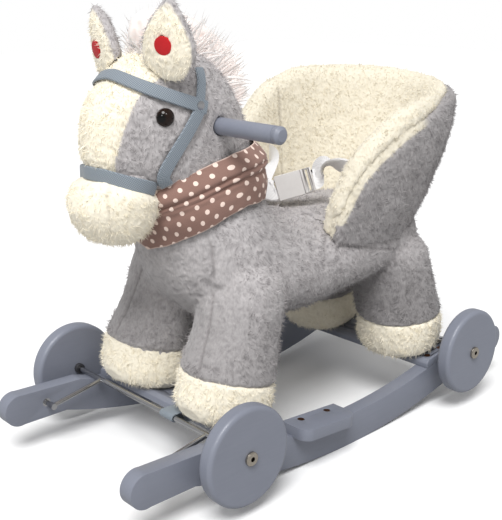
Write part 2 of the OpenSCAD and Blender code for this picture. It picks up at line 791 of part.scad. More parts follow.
module seat_cushion() {
    rows = [[0, -0.04], [0.3, -0.015], [0.7, -0.02], [0.95, -0.12], [1.15, -0.45], [1.3, -0.95]];
    color(plush) difference() {
        loft([for (r = rows) seat_ring(seat_z + gap + min(1, r[0]) * cushion_t
            + max(0, (r[0] - 1) / 0.3) * cushion_crown, r[1])]);
        body_form();
    }
}

// Stuffed body, swept along its spine
body_rows = spline(BODY, 2);
function full(c) = sign(c) * pow(abs(c), fullness);
function body_ring(r, n) = [for (i = [0 : n - 1])
    let (a = 360 * i / n, v = r[3] * full(sin(a)))
    [r[2] * full(cos(a)), r[0] + v * sin(r[4]), r[1] + v * cos(r[4])]];

module body_form() {
    difference() {
        loft([for (r = body_rows) body_ring(r, 24)]);
        seat_space(1.2, [seat_z, 264, 300, 340]);
    }
}

module body() {
    color(plush) difference() {
        body_form();
        board_space();
        translate([-neck_t / 2 - gap, handle_y - neck_w / 2 - gap, seat_z - board_t - 2 * over])
            cube([neck_t + 2 * gap, neck_w + 2 * gap, back_z - seat_z]);
        intersection() {
            each_post_space();
            translate([-track_w, -rocker_len, 0]) cube([2 * track_w, 2 * rocker_len, seat_z]);
        }
    }
}

module each_post_space() {
    for (x = [-leg_x, leg_x]) {
        post(front_bar_y, front_foot_off, x, gap);
        post(rear_bar_y, rear_foot_off, x, gap);
    }
}

// Head, muzzle and what they carry
head_rows = spline(HEAD, 2);
head_front = column(head_rows, 1);
head_back = column(head_rows, 2);
head_half = column(head_rows, 3);
function head_point(z, angle, out) =
    let (f = lookup(z, head_front), b = lookup(z, head_back), w = lookup(z, head_half))
    [(w + out) * sin(angle), (f + b) / 2 - ((b - f) / 2 + out) * cos(angle), z];

module head_form() {
    loft([for (r = head_rows) oval(r, 24)]);
}

module head() {
    color(plush) difference() {
        head_form();
        body_form();
        translate([-neck_t / 2 - gap, handle_y - neck_w / 2 - gap, seat_z])
            cube([neck_t + 2 * gap, neck_w + 2 * gap, handle_z + handle_d + 8 + gap - seat_z]);
        handle_space(gap);
        eye_shapes(gap);
    }
}

muzzle_rows = spline(MUZZLE, 2);
muzzle_front = column(muzzle_rows, 1);
muzzle_back = column(muzzle_rows, 2);
muzzle_half = column(muzzle_rows, 3);

module muzzle_form() {
    loft([for (r = muzzle_rows) oval(r, 24)]);
}

module muzzle() {
    color(cream) difference() {
        muzzle_form();
        head_form();
        body_form();
    }
}

// Plastic eyes, each a dome on a short stem
module eye_shapes(c) {
    both_sides() translate(head_point(eye_z, eye_angle, 0)) rotate([90, 0, eye_normal]) {
        translate([0, 0, -3 - c]) cylinder(r = eye_r + c, h = 3 + c);
        translate([0, 0, -12 - c]) cylinder(r = 2.5 + c, h = 12);
        intersection() {
            translate([0, 0, -5]) sphere(r = sqrt(pow(eye_r, 2) + 25));
            cylinder(r = eye_r, h = eye_r);
        }
    }
}

module eyes() {
    color([0.12, 0.08, 0.06]) eye_shapes(0);
}

// Ears
module at_ear(left) {
    axis = unit(ear_lean);
    turn = left ? left_ear_turn : right_ear_turn;
    side = unit(cross(axis, [sin(turn), -cos(turn), 0]));
    face = cross(side, axis);
    drop = left ? 0 : right_ear_drop;
    side_of(left) multmatrix([
        [side[0], axis[0], face[0], ear_base[0]],
        [side[1], axis[1], face[1], ear_base[1]],
        [side[2], axis[2], face[2], ear_base[2] - drop],
        [0, 0, 0, 1]]) children();
}
ear_rows = spline(EAR, 2);
face_at_button = lookup(button_share, column(ear_rows, 2));

module ear_form() {
    loft([for (r = ear_rows) [for (i = [0 : 15])
        let (a = -360 * i / 16) [ear_half * r[1] * cos(a), ear_len * r[0], r[2] * sin(a)]]]);
}

// Places in the ear frame: button face, capsule behind it
button_z = face_at_button - 1;
capsule_z = button_z - cap_t - button_travel - gap - capsule_t;
module at_button() {
    translate([0, ear_len * button_share, 0]) children();
}

module ear(left) {
    color(cream) difference() {
        at_ear(left) difference() {
            ear_form();
            at_button() {
                translate([0, 0, capsule_z - gap]) cylinder(r = capsule_r + gap, h = capsule_t + 2 * gap);
                translate([0, 0, capsule_z]) cylinder(r = button_r + gap, h = face_at_button);
                translate([0, 0, button_z - cap_t - button_travel - gap])
                    cylinder(r = button_r + gap, h = ear_half);
            }
        }
        head_form();
    }
}

module sound_capsules() {
    color([0.2, 0.2, 0.22]) for (left = [true, false]) at_ear(left) at_button() translate([0, 0, capsule_z])
        difference() {
            cylinder(r = capsule_r, h = capsule_t);
            translate([0, 0, 1]) cylinder(r = stem_r + fit, h = capsule_t);
        }
}

module ear_button(left) {
    color([0.8, 0.1, 0.14]) at_ear(left) at_button() {
        translate([0, 0, button_z - cap_t]) cylinder(r = button_r, h = cap_t);
        translate([0, 0, capsule_z + 1 + button_travel + gap])
            cylinder(r = stem_r, h = button_z - cap_t - capsule_z - 1 - button_travel);
    }
}

// Mane crest from the forelock over the poll to the nape, and the tail
module mane() {
    rows = spline(MANE, 2);
    n = 12;
    color([0.95, 0.91, 0.88]) difference() {
        loft([for (j = [0 : len(rows) - 1])
            let (r = rows[j], q = item(rows, j + 1) - item(rows, j - 1), d = unit([q[0], q[1]]))
            [for (i = [0 : n - 1])
                let (a = 360 * i / n, v = -10 + (r[3] + 10) * (1 + sin(a)) / 2)
                [-r[2] * cos(a), r[0] - d[1] * v, r[1] + d[0] * v]]]);
        head_form();
    }
}

module tail() {
    rows = spline(TAIL, 2);
    n = 12;
    color([0.95, 0.91, 0.88]) difference() {
        loft([for (j = [0 : len(rows) - 1])
            let (r = rows[j], q = item(rows, j + 1) - item(rows, j - 1), d = unit([q[0], q[1]]))
            [for (i = [0 : n - 1])
                let (a = 360 * i / n, v = r[3] * sin(a))
                [-r[2] * cos(a), r[0] - d[1] * v, r[1] + d[0] * v]]]);
        body_form();
        shell_form();
        board_space();
    }
}

// Legs and feet, standing square on the tilted crossbars
module leg_form(h, back) {
    loft([for (r = spline(LEG, 2)) [for (i = [0 : 19])
        let (a = 18 * i, up = r[0] * h, w = foot_half_w * r[1], l = foot_half_l * r[1])
        [w * cos(a) - leg_in * up, l * sin(a) - back * up, foot_h + gap + up]]]);
}

module foot_form() {
    top = FOOT[len(FOOT) - 1][0];
    loft([for (r = spline(FOOT, 2)) [for (i = [0 : 19])
        let (a = 18 * i)
        [foot_half_w * r[1] * cos(a), foot_half_l * r[1] * sin(a), gap + r[0] * (foot_h - gap) / top]]]);
}

module axle_sweep(pivot) {
    translate([-track_w, pivot[0], pivot[1]]) rotate([0, 90, 0])
        cylinder(r = sweep_r, h = 2 * track_w, $fn = 96);
}

module leg(y, off, left) {
    color(plush) difference() {
        side_of(left) on_bar(y) translate([leg_x, off, bar_t])
            leg_form(y > 0 ? rear_leg_h : front_leg_h, sign(y) * leg_back);
        body_form();
        shell_form();
        board_space();
        wheel_sides();
        post(y, off, left ? leg_x : -leg_x, gap);
    }
}

module foot(y, off, left) {
    pivot = y > 0 ? rear_pivot : front_pivot;
    axle = y > 0 ? rear_axle : front_axle;
    color(cream) difference() {
        side_of(left) on_bar(y) translate([leg_x, off, bar_t]) foot_form();
        post(y, off, left ? leg_x : -leg_x, gap);
        axle_sweep(pivot);
        strap_space(y, axle, y > 0 ? rear_strap_x : front_strap_x);
        wheel_sides();
    }
}

// Bridle: bands over the head, from rows of an angle round the head and a height
function brow_row(t) = [rivet_angle * t, lerp(brow_z, rivet_z, pow(abs(t), 1.6))];
function level_band(r) = [
    head_point(r[1] - bridle_w / 2, r[0], bridle_t), head_point(r[1] - bridle_w / 2, r[0], -band_in),
    head_point(r[1] + bridle_w / 2, r[0], -band_in), head_point(r[1] + bridle_w / 2, r[0], bridle_t)];
function upright_band(r, half) = [
    head_point(r[1], r[0] + half, -band_in), head_point(r[1], r[0] + half, bridle_t),
    head_point(r[1], r[0] - half, bridle_t), head_point(r[1], r[0] - half, -band_in)];

module browband() {
    color(webbing) difference() {
        loft([for (i = [-9 : 9]) level_band(brow_row(i / 9 * 1.06))]);
        head_form();
        for (left = [true, false]) at_ear(left) ear_form();
        rivet_shapes(gap / 2);
    }
}

// Distance from the nose axis to an oval section, and to the head or muzzle at a height
function ray_out(f, b, w, a) =
    let (m = (f + b) / 2 - nose_y, h = (b - f) / 2, u = pow(sin(a) / w, 2) + pow(cos(a) / h, 2),
        v = cos(a) * m / (h * h), k = pow(m / h, 2) - 1)
    (-v + sqrt(max(0, v * v - u * k))) / u;
function nose_out(z, a) = max(
    ray_out(lookup(z, head_front), lookup(z, head_back), lookup(z, head_half), a),
    ray_out(lookup(z, muzzle_front), lookup(z, muzzle_back), lookup(z, muzzle_half), a));
function nose_ring(a) =
    let (z = nose_z - nose_drop * (1 - cos(a)))
    [for (p = [[1, -1], [-1, -1], [-1, 1], [1, 1]])
        let (zp = z + p[1] * bridle_w / 2, o = nose_out(zp, a) + (p[0] > 0 ? bridle_t : -band_in))
        [o * sin(a), nose_y - o * cos(a), zp]];

module noseband() {
    color(webbing) difference() {
        loft([for (i = [-9 : 9]) nose_ring(i / 9 * nose_end)]);
        head_form();
        muzzle_form();
    }
}

module cheek_forms() {
    low = [cheek_angle, nose_z - nose_drop + cheek_lap];
    top = [rivet_angle, rivet_z - bridle_w / 2 - brow_clear];
    both_sides() loft([for (i = [0 : 6]) upright_band(lerp(top, low, i / 6), cheek_half)]);
}

// Crown pieces, from the browband up behind the ears
module crown_forms() {
    low = [rivet_angle, rivet_z + bridle_w / 2 + brow_clear];
    top = [crown_angle, crown_z];
    both_sides() loft([for (i = [0 : 5])
        upright_band(lerp(top, low, i / 5), lerp(crown_half, cheek_half, i / 5))]);
}

module cheek_straps() {
    color(webbing) difference() {
        union() {
            cheek_forms();
            crown_forms();
        }
        for (left = [true, false]) at_ear(left) ear_form();
        head_form();
        muzzle_form();
        loft([for (i = [-9 : 9]) nose_ring(i / 9 * nose_end)]);
    }
}

module rivet_shapes(c) {
    both_sides() translate(head_point(rivet_z, rivet_angle, bridle_t)) rotate([0, 90, 0]) {
        translate([0, 0, -bridle_t - 1]) cylinder(r = rivet_r + c, h = bridle_t + 2);
        translate([0, 0, -c]) cylinder(r = rivet_head_r + c, h = rivet_head_t + 2 * c);
    }
}

module bridle_rivets() {
    color(chrome) difference() {
        rivet_shapes(0);
        head_form();
    }
}

// Scarf: a folded band round the neck that drops in front
function scarf_point(r, a, out) = [
    (r[2] + out) * full(cos(a)), r[0] + (r[3] + out) * full(sin(a)),
    r[1] - r[4] * pow(max(0, -sin(a)), 2)];

module scarf() {
    n = 36;
    inner = [SCARF[0], SCARF[len(SCARF) - 1]];
    color([0.55, 0.41, 0.38]) difference() {
        loop([for (i = [0 : n - 1])
            let (a = 360 * i / n)
            concat(
                [for (r = inner) scarf_point(r, a, -scarf_in)],
                [for (k = [len(SCARF) - 1 : -1 : 0]) scarf_point(SCARF[k], a, scarf_t * SCARF[k][5])])]);
        body_form();
        head_form();
        muzzle_form();
        cheek_forms();
    }
}

// Seat belt
module ribbon(route) {
    rows = spline(route, 3);
    last = len(rows) - 1;
    loft([for (j = [0 : last])
        let (d = unit(j < 2 ? route[1] - route[0] : item(rows, j + 1) - rows[j - 1]),
            w = lerp(buckle_across, wall_across, j / last), u = unit(w - (w * d) * d), v = cross(d, u))
        [for (p = [[-1, -1], [1, -1], [1, 1], [-1, 1]])
            rows[j] + p[0] * belt_w / 2 * u + p[1] * belt_t / 2 * v]]);
}

module belt(route) {
    color("white") difference() {
        ribbon(route);
        lining_form(gap);
        shell_form();
    }
}

// Buckle frame: Y is the release direction, X the width
module at_buckle() {
    multmatrix(concat(
        [for (k = [0 : 2]) [buckle_across[k], release[k], buckle_face[k], buckle_mid[k]]],
        [[0, 0, 0, 1]])) children();
}

module buckle_socket() {
    inner_w = buckle_w - 6;
    color("white") at_buckle() difference() {
        translate([-buckle_w / 2, -socket_len, -buckle_t / 2]) cube([buckle_w, socket_len, buckle_t]);
        translate([-inner_w / 2, -prong_len - 1, -buckle_t / 2 + 2])
            cube([inner_w, prong_len + over, buckle_t - 4]);
        for (s = [-1, 1]) translate([s * buckle_w / 2 - 3, -prong_len, -buckle_t / 2 + 2])
            cube([6, 9, buckle_t - 4]);
    }
}

module buckle_clip() {
    prong_w = 5;
    tongue = buckle_w - 6 - 2 * gap;
    color("white") at_buckle() {
        difference() {
            translate([-buckle_w / 2, gap, -buckle_t / 2]) cube([buckle_w, clip_len, buckle_t]);
            translate([-belt_w / 2 - 1, clip_len - 7, -buckle_t]) cube([belt_w + 2, 3, 2 * buckle_t]);
        }
        for (s = [-1, 1])
            translate([s * (tongue - prong_w) / 2 - prong_w / 2, -prong_len, -buckle_t / 2 + 2 + gap])
            cube([prong_w, prong_len + 1, buckle_t - 4 - 2 * gap]);
    }
}

rocker(true);  // rocker_left
rocker(false);  // rocker_right
crossbar(front_bar_y, front_foot_off);  // front_crossbar
crossbar(rear_bar_y, rear_foot_off);  // rear_crossbar
footrest(true);  // footrest_left
footrest(false);  // footrest_right
pivot_bushes();
crossbar_screws();
footrest_screws();
wheel_bracket(front_axle, front_pivot);  // front_wheel_bracket
wheel_bracket(rear_axle, rear_pivot);  // rear_wheel_bracket
wheel(front_axle, true);  // front_left_wheel
wheel(front_axle, false);  // front_right_wheel
wheel(rear_axle, true);  // rear_left_wheel
wheel(rear_axle, false);  // rear_right_wheel
cap_nuts(front_axle);  // front_cap_nuts
cap_nuts(rear_axle);  // rear_cap_nuts
axle_collars(front_axle);  // front_axle_collars
axle_collars(rear_axle);  // rear_axle_collars
lock_strap(front_bar_y, front_axle, front_strap_x);  // front_lock_strap
lock_strap(rear_bar_y, rear_axle, rear_strap_x);  // rear_lock_strap
seat_board();
backrest_board();
neck_board();
leg_posts();
leg_bolts();
handle_bar();
sound_capsules();
ear_button(true);  // ear_button_left
ear_button(false);  // ear_button_right
body();
head();
muzzle();
ear(true);  // ear_left
ear(false);  // ear_right
mane();
tail();
leg(front_bar_y, front_foot_off, true);  // front_left_leg
leg(front_bar_y, front_foot_off, false);  // front_right_leg
leg(rear_bar_y, rear_foot_off, true);  // rear_left_leg
leg(rear_bar_y, rear_foot_off, false);  // rear_right_leg
foot(front_bar_y, front_foot_off, true);  // front_left_foot
foot(front_bar_y, front_foot_off, false);  // front_right_foot
foot(rear_bar_y, rear_foot_off, true);  // rear_left_foot
foot(rear_bar_y, rear_foot_off, false);  // rear_right_foot
seat_shell();
seat_lining();
seat_cushion();
eyes();
browband();
noseband();
cheek_straps();
bridle_rivets();
scarf();
belt(LEFT_BELT);  // belt_left
belt(RIGHT_BELT);  // belt_right
buckle_socket();
buckle_clip();
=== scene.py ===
"""Looks of the plush ride-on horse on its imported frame. Tables are in millimetres, pieces in metres."""
import math

import bpy
import numpy as np
from mathutils import Matrix, Vector
from mathutils.bvhtree import BVHTree


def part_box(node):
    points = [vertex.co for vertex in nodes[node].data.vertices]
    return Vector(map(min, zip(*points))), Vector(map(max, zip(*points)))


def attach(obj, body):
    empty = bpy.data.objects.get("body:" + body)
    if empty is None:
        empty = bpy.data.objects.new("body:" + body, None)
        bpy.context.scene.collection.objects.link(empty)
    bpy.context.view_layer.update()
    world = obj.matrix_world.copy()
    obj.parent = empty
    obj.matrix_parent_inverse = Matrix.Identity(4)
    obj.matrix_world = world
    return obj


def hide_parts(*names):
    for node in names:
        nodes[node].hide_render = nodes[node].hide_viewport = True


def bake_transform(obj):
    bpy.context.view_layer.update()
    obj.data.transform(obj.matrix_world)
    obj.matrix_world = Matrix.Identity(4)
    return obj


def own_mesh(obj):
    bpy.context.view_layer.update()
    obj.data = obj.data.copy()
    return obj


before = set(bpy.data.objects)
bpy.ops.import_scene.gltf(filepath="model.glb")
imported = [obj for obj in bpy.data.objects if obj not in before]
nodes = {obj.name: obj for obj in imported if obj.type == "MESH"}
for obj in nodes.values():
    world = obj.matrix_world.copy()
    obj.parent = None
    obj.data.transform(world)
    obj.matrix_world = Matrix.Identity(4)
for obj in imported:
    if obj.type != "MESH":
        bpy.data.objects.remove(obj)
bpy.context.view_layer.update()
MM = 0.001
ROOT = "horse"
CORNERS = [f"{end}_{side}" for end in ("front", "rear") for side in ("left", "right")]

# Camera, at the photograph's place
CAMERA_PLACE = (0.7663, -0.7497, 0.5165)
CAMERA_BACK = Vector((0.7024, -0.6525, 0.2844)).normalized()
CAMERA_RIGHT = Vector((0.6806, 0.7326, 0.0)).normalized()
FOCAL_PIXELS = 921.8
FRAME_PIXELS = 520
SENSOR = 36.0


def new_object(name, data):
    """A new object in the scene."""
    obj = bpy.data.objects.new(name, data)
    bpy.context.scene.collection.objects.link(obj)
    return obj


def make_camera():
    data = bpy.data.cameras.new("camera")
    data.sensor_width = SENSOR
    data.lens = SENSOR * FOCAL_PIXELS / FRAME_PIXELS
    camera = new_object("camera", data)
    up = CAMERA_BACK.cross(CAMERA_RIGHT)
    turn = Matrix((CAMERA_RIGHT, up, CAMERA_BACK)).transposed()
    camera.matrix_world = Matrix.Translation(CAMERA_PLACE) @ turn.to_4x4()
    bpy.context.scene.camera = camera


# Node helpers for materials
def nodes_of(name):
    material = bpy.data.materials.new(name)
    material.use_nodes = True
    tree = material.node_tree
    return material, tree, tree.nodes["Principled BSDF"]


def feed(socket, value):
    """Links an output to a socket, or sets any other value on it."""
    if hasattr(value, "is_linked"):
        socket.id_data.links.new(value, socket)
    else:
        socket.default_value = value


def set_values(node, **values):
    """Sets properties of a node, or else feeds its inputs; an underscore stands for a space."""
    for key, value in values.items():
        if hasattr(node, key):
            setattr(node, key, value)
        else:
            feed(node.inputs[key.replace("_", " ")], value)
    return node


def add(tree, kind, **values):
    return set_values(tree.nodes.new(kind), **values)


def math_node(tree, operation, *values):
    node = add(tree, "ShaderNodeMath", operation=operation)
    for socket, value in zip(node.inputs, values):
        feed(socket, value)
    return node.outputs[0]


def parts_of(tree, vector):
    """The X, Y and Z outputs of a vector."""
    return add(tree, "ShaderNodeSeparateXYZ", Vector=vector).outputs


def gain(tree, value, by, base):
    """A value times a number, plus a number."""
    return math_node(tree, "MULTIPLY_ADD", value, by, base)


def span(tree, offsets):
    """Length of a vector of two or three offsets."""
    total, *rest = [math_node(tree, "MULTIPLY", off, off) for off in offsets]
    for square in rest:
        total = math_node(tree, "ADD", total, square)
    return math_node(tree, "SQRT", total)


def offsets_from(tree, values, centres):
    return [math_node(tree, "SUBTRACT", value, centre) for value, centre in zip(values, centres)]


def blend_values(tree, a, share_a, b, share_b):
    parts = [math_node(tree, "MULTIPLY", value, share) for value, share in ((a, share_a), (b, share_b))]
    return math_node(tree, "ADD", *parts)


def mix_colour(tree, share, a, b, blend="MIX"):
    node = add(tree, "ShaderNodeMix", data_type="RGBA", blend_type=blend)
    for key, value in (("Factor", share), ("A", a), ("B", b)):
        feed([s for s in node.inputs if s.name == key and s.enabled][0], value)
    return [s for s in node.outputs if s.enabled][0]


def ramp_colour(tree, value, *stops):
    """A ramp between two stops, each a place and a colour."""
    node = add(tree, "ShaderNodeValToRGB", Fac=value)
    for element, (place, colour) in zip(node.color_ramp.elements, stops):
        element.position = place
        element.color = colour
    return node.outputs["Color"]


def rgb(r, g, b):
    """Linear colour of display values from 0 to 255."""
    lin = [((c / 255 + 0.055) / 1.055) ** 2.4 if c > 10 else c / 255 / 12.92 for c in (r, g, b)]
    return (*lin, 1.0)


def noise_node(tree, vector, scale, detail=3.0, rough=0.55):
    node = add(tree, "ShaderNodeTexNoise", Vector=vector, Scale=scale, Detail=detail, Roughness=rough)
    return node.outputs["Fac"]


def object_place(tree):
    return tree.nodes.new("ShaderNodeTexCoord").outputs["Object"]


def scaled(tree, vector, scale):
    return add(tree, "ShaderNodeMapping", Vector=vector, Scale=scale).outputs["Vector"]


def bump(tree, shader, height, strength, distance):
    node = add(tree, "ShaderNodeBump", Height=height, Strength=strength, Distance=distance)
    set_values(shader, Normal=node.outputs["Normal"])


def finish_shader(shader, roughness, metal=0.0, sheen=0.0, coat=0.0, specular=0.5):
    set_values(shader, Roughness=roughness, Metallic=metal, Sheen_Weight=sheen, Sheen_Roughness=0.5,
               Coat_Weight=coat, Specular_IOR_Level=specular)


def attribute(tree, name):
    return add(tree, "ShaderNodeAttribute", attribute_name=name).outputs["Fac"]


def napped(tree, colour):
    """A colour made darker by painted shade, from an attribute."""
    nap = add(tree, "ShaderNodeAttribute", attribute_name="nap").outputs["Color"]
    return mix_colour(tree, 1.0, colour, nap, "MULTIPLY")


GREY = rgb(190, 186, 186)
GREY_DEEP = rgb(142, 138, 139)
CREAM = rgb(246, 239, 221)
CREAM_DEEP = rgb(227, 218, 197)


def plush_material():
    """Short pile: grey or cream by an attribute, with fibre tones that differ at random, painted light on its
    ridges and painted shade between them and in its seams.
    """
    material, tree, shader = nodes_of("plush")
    place = object_place(tree)
    patches = noise_node(tree, place, 45.0, 3.0, 0.6)
    fibres = noise_node(tree, scaled(tree, place, (1.0, 1.0, 0.45)), 520.0, 3.0, 0.7)
    # Painted light and shade: the relief's height makes its ridges lighter and the hollows between them
    # darker; the fibres and patches add random tone.
    ridges = blend_values(tree, attribute(tree, "height"), 0.3, fibres, 0.6)
    depth = blend_values(tree, ridges, 1.0, patches, 0.25)
    lift = ramp_colour(tree, depth, (0.3, (0, 0, 0, 1)), (0.78, (1, 1, 1, 1)))
    grey = mix_colour(tree, lift, GREY_DEEP, GREY)
    cream = mix_colour(tree, lift, CREAM_DEEP, CREAM)
    both = mix_colour(tree, attribute(tree, "cream"), grey, cream)
    # Painted shade in the seams: the colour is multiplied towards a dark grey by the seam attribute.
    shaded = mix_colour(tree, attribute(tree, "seam"), both, (0.4, 0.38, 0.38, 1.0), "MULTIPLY")
    set_values(shader, Base_Color=napped(tree, shaded))
    finish_shader(shader, 0.92, sheen=0.25, specular=0.12)
    bump(tree, shader, fibres, 0.5, 0.0016)
    return material


def pile_material():
    """The fibres that stand up from the plush: the same colours with a light or dark tone for each fibre,
    partly random and partly painted light and shade that follow the relief.
    """
    material, tree, shader = nodes_of("pile")
    tone = attribute(tree, "tone")
    grey = mix_colour(tree, tone, rgb(138, 134, 136), rgb(204, 199, 199))
    cream = mix_colour(tree, tone, rgb(229, 221, 200), rgb(252, 245, 228))
    both = mix_colour(tree, attribute(tree, "cream"), grey, cream)
    set_values(shader, Base_Color=napped(tree, both))
    finish_shader(shader, 0.85, sheen=0.3, specular=0.2)
    return material


def hair_material():
    material, tree, shader = nodes_of("pale_hair")
    tone = attribute(tree, "tone")
    colour = mix_colour(tree, tone, rgb(218, 207, 202), rgb(238, 230, 226))
    set_values(shader, Base_Color=colour)
    finish_shader(shader, 0.75, sheen=0.4, specular=0.2)
    set_values(shader, Subsurface_Weight=0.85, Subsurface_Radius=(1.0, 0.9, 0.88), Subsurface_Scale=0.014)
    return material


def paint_material():
    """Satin paint over planed wood: a faint grain along the boards and small clouds in the colour."""
    material, tree, shader = nodes_of("painted_wood")
    place = object_place(tree)
    grain = noise_node(tree, scaled(tree, place, (1.0, 0.06, 1.0)), 420.0, 4.0, 0.6)
    clouds = noise_node(tree, place, 22.0, 3.0)
    share = blend_values(tree, grain, 0.4, clouds, 0.6)
    set_values(shader, Base_Color=mix_colour(tree, share, rgb(117, 121, 134), rgb(133, 137, 149)))
    finish_shader(shader, 0.42, coat=0.12)
    set_values(shader, Roughness=gain(tree, clouds, 0.16, 0.36))
    bump(tree, shader, grain, 0.12, 0.0004)
    return material


def metal_material(name, light, dark, roughness, axis=None, socket_r=0.0):
    """Metal with drawn marks along X; where an axis along X is given, painted shade inside a socket round it.
    """
    material, tree, shader = nodes_of(name)
    place = object_place(tree)
    marks = noise_node(tree, scaled(tree, place, (0.1, 1.0, 1.0)), 300.0, 2.0)
    colour = mix_colour(tree, marks, dark, light)
    if axis:
        parts = parts_of(tree, place)
        away = span(tree, offsets_from(tree, (parts["Y"], parts["Z"]), axis))
        # Painted shade: dark brown inside the socket's radius, where the recess lies in shade.
        colour = mix_colour(tree, math_node(tree, "LESS_THAN", away, socket_r), colour, rgb(52, 44, 38))
    set_values(shader, Base_Color=colour)
    finish_shader(shader, roughness, metal=1.0)
    return material


def plain_material(name, light, dark, roughness, coat=0.0):
    material, tree, shader = nodes_of(name)
    clouds = noise_node(tree, object_place(tree), 160.0)
    set_values(shader, Base_Color=mix_colour(tree, clouds, dark, light))
    finish_shader(shader, roughness, coat=coat)
    bump(tree, shader, clouds, 0.08, 0.0003)
    return material


def bare_wood_material():
    material, tree, shader = nodes_of("bare_wood")
    grain = noise_node(tree, scaled(tree, object_place(tree), (1.0, 0.08, 0.5)), 300.0, 5.0, 0.65)
    set_values(shader, Base_Color=mix_colour(tree, grain, rgb(176, 138, 92), rgb(220, 186, 140)))
    finish_shader(shader, 0.6)
    bump(tree, shader, grain, 0.2, 0.0005)
    return material


def cloth_place(tree):
    """Length and width along a strap or a cloth, in millimetres."""
    parts = parts_of(tree, tree.nodes.new("ShaderNodeUVMap").outputs["UV"])
    return parts["X"], parts["Y"]


def woven_material(name, light, dark, thread):
    """Webbing: a twill of small slanting cells on the strap's own length and width."""
    material, tree, shader = nodes_of(name)
    turn = 2 * math.pi / thread
    along, across = (math_node(tree, "MULTIPLY", value, turn) for value in cloth_place(tree))
    ribs = math_node(tree, "SINE", math_node(tree, "ADD", along, math_node(tree, "MULTIPLY", across, 0.5)))
    slant = math_node(tree, "SUBTRACT", math_node(tree, "MULTIPLY", along, 0.5), across)
    threads = math_node(tree, "SINE", slant)
    weave = gain(tree, math_node(tree, "MULTIPLY", ribs, threads), 0.5, 0.5)
    set_values(shader, Base_Color=mix_colour(tree, weave, dark, light))
    finish_shader(shader, 0.75, sheen=0.2, specular=0.25)
    bump(tree, shader, weave, 0.5, 0.0005)
    return material


DOT_STEP = 18.4
DOT_RADIUS = 2.7
THREADS = 9.0


def scarf_material():
    """Plain weave with staggered dots and a pale overlocked edge, on the scarf's length and width."""
    material, tree, shader = nodes_of("dotted_cotton")
    place = cloth_place(tree)
    dots = []
    for shift in (0.0, 0.5):
        offsets = []
        for value in place:
            steps = math_node(tree, "ADD", math_node(tree, "DIVIDE", value, DOT_STEP), shift)
            cell = math_node(tree, "SUBTRACT", math_node(tree, "FRACT", steps), 0.5)
            offsets.append(math_node(tree, "MULTIPLY", cell, DOT_STEP))
        dots.append(math_node(tree, "LESS_THAN", span(tree, offsets), DOT_RADIUS))
    waves = [math_node(tree, "SINE", math_node(tree, "MULTIPLY", value, THREADS)) for value in place]
    weave = gain(tree, math_node(tree, "MULTIPLY", *waves), 0.5, 0.5)
    cloth = mix_colour(tree, weave, rgb(126, 97, 88), rgb(150, 119, 108))
    dotted = mix_colour(tree, math_node(tree, "MAXIMUM", *dots), cloth, rgb(236, 214, 202))
    set_values(shader, Base_Color=mix_colour(tree, attribute(tree, "edge"), dotted, rgb(222, 198, 186)))
    finish_shader(shader, 0.85, sheen=0.15, specular=0.2)
    bump(tree, shader, weave, 0.25, 0.0003)
    return material


EYE_PUPIL = 5.2 * MM


def eye_material(apex):
    """Glossy eye: a black pupil in dark brown, by the distance from the middle of the dome."""
    material, tree, shader = nodes_of("eye_gloss")
    parts = parts_of(tree, object_place(tree))
    values = (math_node(tree, "ABSOLUTE", parts["X"]), parts["Y"], parts["Z"])
    away = span(tree, offsets_from(tree, values, apex))
    share = math_node(tree, "DIVIDE", away, EYE_PUPIL * 2)
    set_values(shader, Base_Color=ramp_colour(tree, share, (0.48, rgb(7, 6, 6)), (0.7, rgb(30, 17, 11))))
    finish_shader(shader, 0.06, specular=0.28)
    return material


PLUSH = plush_material()
PILE = pile_material()
HAIR = hair_material()
PAINT = paint_material()
CHROME = metal_material("bright_metal", (0.5, 0.5, 0.51, 1), (0.4, 0.4, 0.41, 1), 0.16)
BRONZE = metal_material("bronze_screws", rgb(150, 104, 74), rgb(96, 62, 42), 0.4)
DARK = plain_material("dark_plastic", rgb(58, 58, 62), rgb(40, 40, 44), 0.5)
WOOD = bare_wood_material()
RED = plain_material("red_plastic", rgb(196, 10, 22), rgb(180, 6, 16), 0.5)
WHITE = plain_material("white_plastic", rgb(208, 205, 203), rgb(196, 193, 191), 0.35, coat=0.2)
BRIDLE = woven_material("blue_grey_webbing", rgb(150, 159, 167), rgb(94, 103, 113), 2.7)
BELT = woven_material("white_webbing", rgb(246, 245, 244), rgb(222, 221, 222), 2.2)
COTTON = scarf_material()


# Mesh helpers
def new_piece(name, points, faces, material, body=ROOT, smooth=True):
    mesh = bpy.data.meshes.new(name)
    mesh.from_pydata([tuple(p) for p in points], [], [tuple(f) for f in faces])
    return dress(name, mesh, material, body, smooth)


def dress(name, mesh, material, body=ROOT, smooth=True):
    mesh.name = name
    piece = new_object(name, mesh)
    mesh.materials.clear()
    mesh.materials.append(material)
    mesh.polygons.foreach_set("use_smooth", [smooth] * len(mesh.polygons))
    if body:
        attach(piece, body)
    return piece


def put_map(mesh, name, places):
    """A map from one place for each point."""
    layer = mesh.uv_layers.get(name) or mesh.uv_layers.new(name=name)
    corner = np.empty(len(mesh.loops), np.int64)
    mesh.loops.foreach_get("vertex_index", corner)
    layer.data.foreach_set("uv", places[corner].astype(np.float32).ravel())


def cell_map(mesh, count, corners):
    """A bake map with one small cell for each of many like items, whose points fall on the cell's corners."""
    row = math.ceil(math.sqrt(count))
    item = np.arange(count)
    base = np.stack([item % row, item // row], axis=1)[:, None, :]
    put_map(mesh, "OFBake", ((base + corners[None]) / row).reshape(-1, 2))


def rows_of(items, key):
    values = np.empty(len(items) * 3)
    items.foreach_get(key, values)
    return values.reshape(-1, 3)


def points_of(mesh):
    return rows_of(mesh.vertices, "co")


